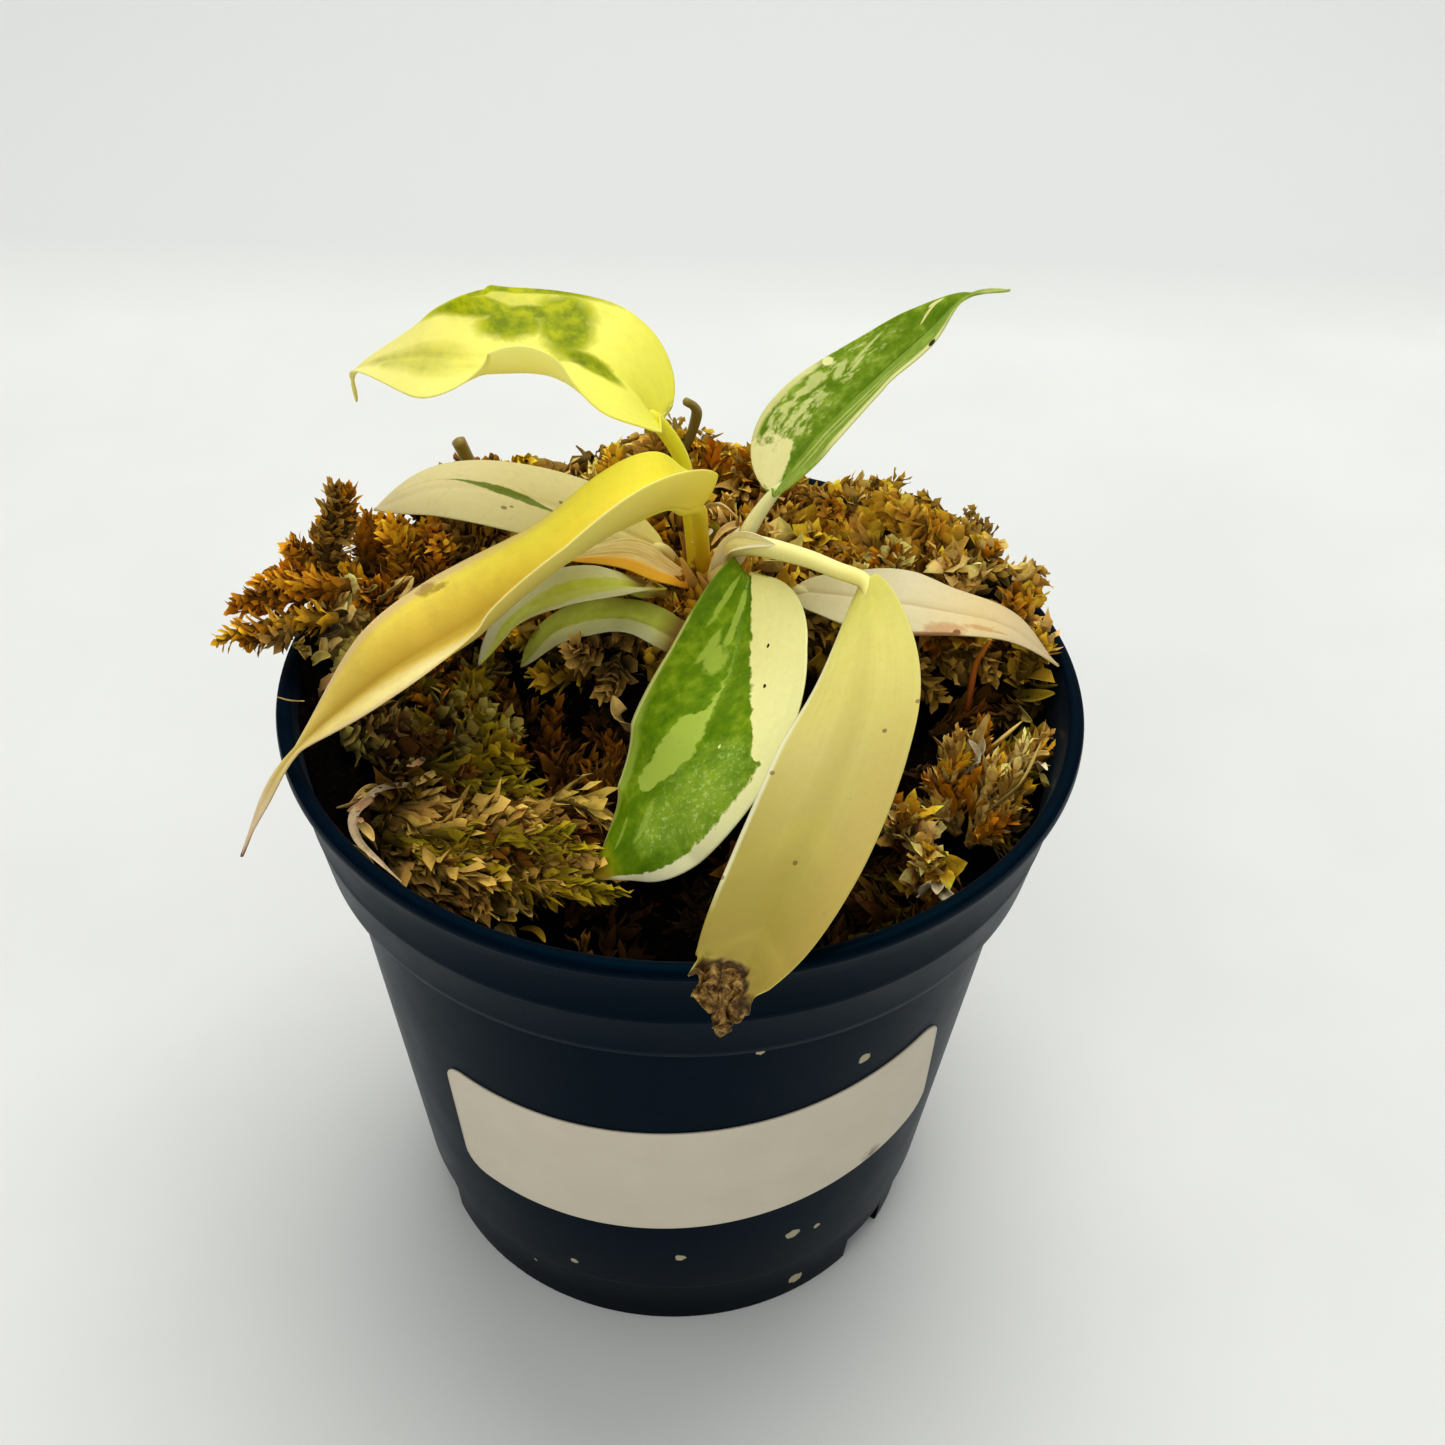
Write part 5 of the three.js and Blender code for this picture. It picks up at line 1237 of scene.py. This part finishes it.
def leanings(x, y):
    """The ways that sprigs may lean, by name, at each place."""
    none = 0 * x
    ways = {"outwards": (0.45 * x / 50, 0.45 * y / 50, 0.3 + none),
            "flat": (0.8 * np.sin(x * 0.2 + y * 0.1), 0.35 + 0.3 * np.cos(y * 0.2), 0.1 + none),
            "leftwards": (-0.6 + none, 0.1 * np.sin(y), 0.25 + none)}
    return {name: np.stack(way, -1) for name, way in ways.items()}


def clumps(part, bare, each, lean, lift, length, style, *colours):
    """Clumps in one part of the surface, but for a bare share, with sprigs that lean one way."""
    spacing = 5.6
    ticks = np.arange(-RIM_RADIUS, RIM_RADIUS, spacing)
    grid = np.stack(np.meshgrid(ticks, ticks), -1).reshape(-1, 2)
    grid = grid + chance.uniform(-2.4, 2.4, grid.shape)
    grid = grid[(np.hypot(*grid.T) < 50.5) & parts(*grid.T)[part] & (chance.random(len(grid)) > bare)]
    own = np.repeat(np.arange(len(grid)), each)
    place = grid[own] + chance.normal(0, 1.7, (len(own), 2))
    place *= np.minimum(1, 51 / np.maximum(np.hypot(*place.T), 1e-6))[:, None]
    rise = chance.uniform(0, lift, len(grid))[own]
    root = np.column_stack([place, moss_height(*place.T) - UNDER + rise])
    way = leanings(*grid.T)[lean] + chance.normal(0, 1, (len(grid), 3)) * [0.5, 0.5, 0.25]
    way = unit(way)[own] + chance.normal(0, 0.2, (len(own), 3))
    way[:, 2] = np.maximum(way[:, 2], -0.05)
    tip = root + unit(way) * chance.uniform(*length, len(own))[:, None]
    colour = mixed(len(grid), *colours)[own] * 0.85 + mixed(len(own), *colours) * 0.15
    return sprigs(root, tip, colour, **style)


# The hollow, the grey debris, the right and the front mix in a near-black brown: painted shade.
BED = [
    ("moss_back_flaky", "back", 0, 3, "outwards", 4, (8, 14), FLAKY,
     (OCHRE, 6), (TAN, 5), (BUFF, 2), (RUST, 2)),
    ("moss_back_papery", "back", .4, 2, "outwards", 4, (6, 9), PAPERY, (BUFF, 2), (OCHRE, 4), (TAN, 3)),
    ("moss_back_stubby", "back", 0, 1, "outwards", 4, (8, 13), STUBBY, (OCHRE, 4), (RUST, 2), (TAN, 3)),
    ("moss_left", "left", 0, 4, "leftwards", 2, (6, 10), STUBBY,
     (RUST, 6), (ORANGE, 3), (OCHRE, 1), (BROWN, 2)),
    ("moss_hollow", "hollow", .4, 2, "flat", 1.2, (7, 13), FANNED, (PAINTED_SHADE, 5), (BROWN, 4), (RUST, 1)),
    ("moss_grey", "debris", 0, 3, "flat", 6, (5, 8), FLAKY, (GREY, 4), (OLIVE, 2), (PAINTED_SHADE, 4), (BUFF, 1)),
    ("moss_right", "right", .5, 2, "flat", 2.5, (8, 12), SPIKY,
     (PAINTED_SHADE, 3), (OLIVE, 3), (BROWN, 3), (OCHRE, 1)),
    ("moss_front", "front", .5, 1, "flat", 1.2, (7, 12), FANNED, (PAINTED_SHADE, 5), (BROWN, 3), (OLIVE, 1)),
]
for name, *clump in BED:
    piece(name, clumps(*clump), moss_finish(name), "moss_rust", "moss_bed")

# %% [markdown]
# Some sprigs stand out and give the moss its outline: a spire and orange sprigs hooking over the
# rim at the left, spikes along the back, and three clumps of other colours. Each is a row of root,
# tip and radius, and gets side sprigs of its own.
# %% Sprigs that stand out
RUST_SPRIGS = [
    [-38, 19, 95, -41.5, 19, 107, 3.2], [-34, 22, 95, -37, 21.5, 106, 3], [-42, 12, 96, -44, 9, 104, 2.8],
    [-30, 28, 95, -31, 31, 102, 3.2], [-26, 14, 92, -27, 10, 98, 3],
    [2, 18, 95, -3, 14.5, 98.5, 2.2], [1.5, 16, 94, -1.5, 11.5, 97, 2.2],
]
EDGE_SPRIGS = [
    [-52, 15.5, 98, -47.7, 14.5, 116, 3.2], [-51, 15.5, 102, -55.2, 14.5, 106.5, 2],
    [-46, 8.5, 104, -61, 2.5, 104, 2.8], [-47, 3, 102, -62.2, -3, 102.6, 2.6],
    [-48, 12, 101, -57.5, 11.5, 104, 2.2], [-46, 15, 99, -52.5, 18.5, 104, 2.2],
]
HOLLOW_SPRIGS = [
    [-24, -7, 78, -23.5, -1, 87, 2.4], [-17, -12, 78, -16.5, -6, 86, 2.4],
    [-11, -15, 78, -10.5, -9, 85, 2.4], [-19, -16, 79, -12, -12, 85, 2.4],
    [-20, -3, 76, -17.5, 5, 87, 2.2], [-25, 9, 79, -24, 14, 88, 2.2], [-8, -9, 76, -9, -2, 84, 2.2],
    [-14, 0, 75, -12, 7, 83, 2.2], [-26, 2, 80, -21, 5, 86, 2.2],
]
BACK_SPRIGS = [
    [-11, 41, 95, -11.5, 44.5, 104.5, 3.2], [-4, 42, 96, -4, 45.5, 106, 3], [4, 42, 95, 3.5, 45, 104, 3],
    [10, 41, 94, 9.5, 44, 103.5, 3], [15, 39, 94, 15, 41, 101, 3], [28, 36, 93, 28.7, 38.5, 104, 2],
    [33, 35, 92, 37, 38, 101.5, 2.4], [41, 27, 92, 45, 28, 101, 3], [46, 16, 92, 50.5, 17, 101, 3],
    [48, 6, 92, 51, 5, 101, 2.6], [36, 24, 94, 38, 22, 101, 3], [28, 24, 94, 30, 22, 102, 3.4],
    [18, 30, 94, 20, 27, 101, 3.2], [36, 16, 93, 38, 13, 98, 3], [-14, 32, 95, -16, 29, 100, 3.2],
    [12, 34, 95, 9, 30, 101, 3.2], [24, -2, 84, 27, -8, 89, 2.8], [8, -20, 79, 10, -27, 84, 2.8],
    [28, -14, 82, 31, -20, 86, 2.6], [14, -34, 76, 17, -40, 80, 2.4], [32, -22, 78, 33, -26, 87, 2.2],
]
OLIVE_SPRIGS = [
    [-33, -4, 84, -27, 0, 89, 2.8], [-35, 1, 85, -29, 4, 90, 2.8], [-30, -6, 84, -24, -3, 88, 2.6],
    [-36, -10, 84, -41, -6, 88, 2.6], [-34, -7, 85, -38, -2, 89, 2.6], [-38, -6, 85, -42, -2, 89, 2.4],
    [-31, 4, 85, -28, 9, 91, 2.4],
]
STRAW_SPRIGS = [
    [-39 + 2.5 * math.sin(2.1 * k), -11 - 0.75 * k, 85 + 1.6 * math.sin(1.7 * k),
     -13 + 5 * math.sin(1.3 * k), -22 - 0.55 * k, 84 + 1.5 * math.sin(2.9 * k), 2.4 + 0.5 * math.sin(k)]
    for k in range(17)]
BUFF_SPRIGS = [
    [37.5, -14, 83, 41.6, -5, 92.5, 2.8], [36, -14, 83, 36.5, -6, 90, 2.6], [41, -15, 83, 46.5, -8, 92, 2.6],
    [42, -13, 84, 50.2, -5.5, 91.5, 2.4], [38, -16, 82, 34, -10, 87, 2.4], [40, -14, 83, 40.5, -7, 89, 2.6],
    [43, -15, 83, 46, -12, 88, 2.4], [39, -18, 82, 44, -17, 87, 2.2],
]


def tufts(rows, style, twigs, loose, scatter, *colours):
    """A thick sprig for each row, with side sprigs that fork from it and follow it."""
    rows = np.asarray(rows, float)
    root, tip, radius = rows[:, :3], rows[:, 3:6], rows[:, 6]
    thicker = {**style, "thick": style["thick"] * 1.2, "leaf": style["leaf"] * radius / 2.6, "bow": 0.06}
    main = sprigs(root, tip, mixed(len(rows), *colours), **thicker)
    which = np.repeat(np.arange(len(rows)), twigs)
    u = chance.uniform(0.0, 0.7, len(which))[:, None]
    start = root[which] * (1 - u) + tip[which] * u + chance.normal(0, scatter, (len(which), 3))
    along = (tip - root)[which]
    aim = unit(unit(along) + chance.normal(0, loose, (len(which), 3)))
    reach = np.linalg.norm(along, axis=1) * (0.85 - u[:, 0] * 0.8) * chance.uniform(0.5, 1.0, len(which))
    side = sprigs(start, start + aim * np.clip(reach, 3, 16)[:, None], mixed(len(which), *colours), **style)
    return together([main, side])


# The hollow's tufts mix in the same near-black brown: painted shade in the hollow.
TUFTS = [
    ("moss_sprigs_left", "moss_rust", "moss_bed", "moss_rust", RUST_SPRIGS, STUBBY, 4, .42, .8,
     (RUST, 4), (ORANGE, 4), (OCHRE, 1)),
    ("moss_sprigs_edge", "moss_rust", "moss_bed", "moss_edge", EDGE_SPRIGS, STUBBY, 3, .16, .5,
     (RUST, 4), (ORANGE, 2), (TAN, 2)),
    ("moss_sprigs_hollow", "moss_rust", "moss_bed", "moss_dark", HOLLOW_SPRIGS, FANNED, 4, .42, .8,
     (RUST, 2), (BROWN, 5), (PAINTED_SHADE, 3)),
    ("moss_sprigs_back", "moss_rust", "moss_bed", "moss_back", BACK_SPRIGS, FLAKY, 5, .42, .8,
     (OCHRE, 4), (TAN, 4), (BUFF, 3), (RUST, 2)),
    ("moss_olive_clump", "moss_olive", "moss_olive", "moss_olive", OLIVE_SPRIGS, FLAKY, 4, .3, .8,
     (OLIVE, 5), (GREY, 4)),
    ("moss_straw_clump", "moss_straw", "moss_straw", "moss_straw", STRAW_SPRIGS, FIBROUS, 4, .25, 1.3,
     (STRAW, 3), (TAN, 5), (OLIVE, 1.5), (BROWN, .5)),
    ("moss_buff_clump", "moss_buff", "moss_buff", "moss_buff", BUFF_SPRIGS, SPIKY, 4, .3, .8,
     (ORANGE, 1), (BUFF, 4), (RUST, 2), (TAN, 3)),
]
for name, slot, node, finish, *tuft in TUFTS:
    piece(name, tufts(*tuft), moss_finish(finish), slot, node)

# %% [markdown]
# Some loose scales, strips and flakes lie on top, whitish, straw or nearly black. Each is a small
# blade through a few points, tinted like the moss, paler towards its tip and darker underneath as
# painted shade. They lie in little heaps, so each row of the list is a heap: its colours, where it
# is, which way its pieces point, and how many, how long, how wide and how untidy they are.
# %% Loose scales and flakes
def flake(points, width, fold, curl, roll=0.0, **options):
    """A small dry sheath or scale: a narrow blade through a few points."""
    stations = [[*point, roll, fold, curl, fold, curl] for point in points]
    options = {"steps": 14, "columns": 9, **options}
    return blade(stations, (width, .4, .3, 1.8, .8, 0, .15), thick=0.22, rib=0.0, **options)


def tinted(shape, colour):
    """The shape with a tint like the moss's: darker at its foot, and darker underneath as painted shade."""
    shade = (0.6 + 0.5 * shape.marks["along"].clip(0, 1)) * (1 - 0.3 * shape.marks["under"])
    return Shape(shape.points, shape.faces, tint=np.clip(shade[:, None] * np.array(colour), 0, 1))


def heap(colours, place, toward, count, length, width, untidy, gap=1.0):
    """Loose scales that lie about one place and point roughly one way."""
    made = []
    for k in range(count):
        start = np.array(place) + chance.normal(0, 1.7, 3) * (count > 1) * [1, 1, 0.4]
        aim = unit(unit(np.array(toward, float)) + chance.normal(0, untidy, 3))
        bulge = unit(np.cross(aim, chance.normal(0, 1, 3))) * length * chance.uniform(0.05, 0.2)
        own = length * chance.uniform(0.75, 1.2)
        points = [start, start + aim * own / 2 + bulge, start + aim * own + bulge * 0.3]
        if all(clear_of_leaves(point, gap) and inside_pot(point) for point in points):
            shape = flake(points, width * chance.uniform(0.8, 1.2), 15, 30, chance.uniform(-60, 60))
            made.append(tinted(shape, colours[k % len(colours)]))
    return made


HEAPS = [
    ((BUFF,), (-7.8, 1.5, 84.5), (-2.4, -0.5, 6), 1, 7, 1.6, 0.1, 0.3),
    ((CREAM, BUFF), (40, -9, 88), (1, -1, 9), 4, 8, 0.9, 0.3),
    ((BUFF,), (41, -17, 87), (5, 2.5, 9), 1, 11, 0.7, 0),
    ((GREY, OLIVE), (49, 6, 89), (3, -8, 4), 4, 8, 1.3, 0.15),
    ((CREAM, BUFF, GREY), (48, -11, 90), (3, -4, 6), 6, 6, 0.8, 0.3),
    ((OCHRE,), (20, 8.5, 87), (0, -1, 9), 1, 8, 2.3, 0),
    ((OLIVE,), (-12, 9.5, 85.5), (3.5, 3, 6), 1, 8, 1.5, 0),
    ((GREY, STRAW), (-36.5, -3, 86), (-4, -8, 2), 4, 9, 1.0, 0.15),
    ((BUFF, OCHRE), (-22, -31, 79), (0, -2, 3), 8, 5, 1.0, 0.7),
    ((LEAFY,), (-14, -23, 85), (4, -6, 1), 4, 6, 0.8, 0.3),
    ((BUFF, GREY), (-40, 9, 102), (3, 0, 3), 7, 3.4, 0.8, 0.5),
    ((BUFF, GREY, OLIVE), (-50, 2, 97.5), (2, -1, 3), 10, 3.4, 0.9, 0.6),
    ((BLACK,), (-51.5, 7, 100), (4, -3, 3), 5, 6, 1.3, 0.25),
    ((BUFF,), (-53.5, -9.5, 98.5), (4, -1, 0.3), 1, 5, 0.25, 0),
    ((CREAM, BUFF), (34, -26, 83), (0, -2, 2), 7, 4.5, 1.0, 0.6),
    ((CREAM, ORANGE), (4, 25, 103), (1, -2, 3), 5, 5, 0.9, 0.7),
    ((OCHRE, ORANGE, PINKISH), (0.5, 18, 95.5), (-3, -2, 2.5), 8, 6, 1.3, 0.35),
    ((LEAFY,), (4, 24.5, 96.5), (0, -1, 8), 1, 8.5, 1.7, 0),
    ((BROWN, OCHRE, BUFF), (4, -61.5, 95), (0, -2, -4), 6, 3.5, 1.0, 0.6, 0),
]
strand = [(-35, -17, 90), (-39, -19, 91), (-41, -22, 91), (-42, -25, 91), (-41, -28, 90), (-38, -30, 88),
          (-35, -30, 84)]
loose = [tinted(flake(strand, 0.8, 15, 40, steps=40), (0.95, 0.76, 0.48))]
for first, last in zip(strand, strand[1:]):
    loose += heap((PINKISH, BUFF), first, np.subtract(last, first), 2, 3.4, 0.7, 0.4)
for row in HEAPS:
    loose += heap(*row)
CURLS = [[(3, 24, 103), (2.4, 22, 108), (4.6, 20.6, 110.4), (7.4, 19.6, 109)],
         [(6, 22.6, 103), (7.2, 20.4, 107), (5.4, 18.6, 107.6), (3.6, 17.6, 105.6)],
         [(2.6, 19.4, 100), (2.2, 17.4, 104.6), (0.8, 16.4, 107)]]
loose += [tinted(flake(points, 0.8, 20, 40, 25, steps=30), (0.86, 0.62, 0.26)) for points in CURLS]
piece("moss_loose_scales", together(loose), moss_finish("moss_loose", 0.5), "moss_buff", "moss_buff")

# %% [markdown]
# At the crown the leaves come out of a short stem wrapped in torn, dry sheaths. The dead twigs, two
# behind and a small one at the right, are thin tubes with knobs where their own leaves once stood.
# %% Stem and twigs
bark = stalk_finish("stem_brown", (96, 60, 20), (128, 84, 30), (150, 104, 44))
stem_parts = [tube([[3, 19.5, 62, 3.3], [3.2, 19, 80, 3.2], [3.4, 18.6, 92, 3.1], [3.5, 18.5, 98, 2.2]], 20)]
for turn, foot, long, lean, wide in [(80, 93, 12, 4, 1.8), (205, 91, 9, 6, 1.8), (245, 91, 8, 7, 1.7),
                                     (335, 92, 9, 7, 1.6), (25, 92, 11, 5, 1.7), (125, 93, 10, 5, 1.5)]:
    out = np.array([math.cos(math.radians(turn)), math.sin(math.radians(turn)), 0])
    base = np.array([3.4, 18.7, foot]) + out * 2.6
    stem_parts.append(flake([base, base + out * lean * 0.4 + [0, 0, long * 0.6],
                             base + out * lean + [0, 0, long]], wide, 25, 25, steps=24, columns=13))
piece("stem", together(stem_parts), bark, "stem_brown", "stem")

wings = [([(4.2, 18, 97), (5.6, 17.6, 103), (7.6, 17.4, 109)], 2.0, 30, 30, 10),
         ([(4.6, 13.6, 103), (6.3, 12.6, 108.4), (9, 8, 113), (12, 4, 115.4)], 1.9, 30, 20, -60)]
skin = stalk_finish("sheath_pinkish", (226, 200, 140), (244, 226, 180), (250, 236, 190))
piece("petiole_wings", together([flake(*wing, steps=40, columns=17) for wing in wings]), skin, "dry_sheath")

torn = [([(1.4, 16.4, 94), (0.6, 15.4, 100), (-0.8, 14.8, 105.5)], 2.0, 0),
        ([(3.4, 15.2, 95), (3.0, 14.2, 100), (1.6, 13.4, 104)], 1.6, 20),
        ([(4.8, 15.6, 95), (5.8, 14.8, 100), (6.0, 14.4, 105)], 1.5, -20),
        ([(0.6, 17.2, 94), (-2.6, 16.0, 97.5), (-5.4, 14.4, 98.5)], 1.5, 0),
        ([(2.4, 17.4, 98), (2.0, 16.6, 103), (3.0, 16.2, 107.5)], 1.4, 0)]
torn = [flake(points, width, 30, 30, roll, steps=30, columns=13) for points, width, roll in torn]
frayed_brown = stalk_finish("sheath_brown", (132, 82, 26), (186, 132, 54), (216, 172, 96))
piece("torn_sheaths", together(torn), frayed_brown, "dry_sheath")

dry = LeafFinish("dried_sheath", 66.0, Subsurface_Weight=0.15)
dry.top = dry.shades(dry.noise(dry.lines, 1.2, 3, 0.5), (.36, (238, 200, 120)), (.5, (252, 224, 150)),
                     (.66, (255, 240, 188)))
dry.paint((dry.s - .15).step(.5) * 0.9, (244, 180, 26))
dry.finish((236, 196, 116), 0.5, 0.1)
sheath = [[.7, 18.2, 98.6, 30, 10, 0, 10, 0], [-3.5, 15.5, 102.8, 25, 10, 0, 10, 0],
          [-7.5, 15.2, 105.2, 25, 10, 0, 10, 0], [-12, 15.4, 105.1, 18, 10, 0, 6, -4],
          [-16.9, 16, 103.9, 25, 10, 0, 10, 0]]
dried = blade(sheath, (2.8, .38, .1, 1.8, .8, 0, .3), steps=60, columns=21, thick=0.3, rib=0.1)
piece("dried_sheath", dried, dry, "dry_sheath", "dry_sheath_left")

small = [[40, 1, 90, .45], [40.4, 2.5, 94, .5], [40.8, 3.2, 97, .4], [42.2, 3.4, 100.5, .3]]
straight = [[-29, 39.5, 91, 1.1], [-30, 39.9, 95, 1.0], [-31.5, 40.5, 100, 1.15], [-32.6, 40.3, 103.5, 1.0],
            [-34.2, 40, 108, 1.1]]
bent = [[-3, 43, 91, 1], [-2.2, 43.2, 97, .85], [-1.8, 43.5, 103, .95], [0.2, 43.9, 107, .8],
        [1.2, 44, 111, .9], [0.8, 43.2, 113, .7], [-0.4, 42, 114.5, .65]]
rusty = stalk_finish("twig_rusty", (120, 62, 14), (176, 98, 24), (196, 120, 36))
piece("twig_small", tube(small, 8), rusty, "twig_bark")
twig_skin = stalk_finish("twig_bark", (70, 56, 22), (104, 88, 34), (150, 132, 62))
piece("twig_straight", tube(straight, 12, groove=0.1), twig_skin, "twig_bark", "twig_stub")
piece("twig_bent", tube(bent, 12, groove=0.1), twig_skin, "twig_bark", "twig_curved")
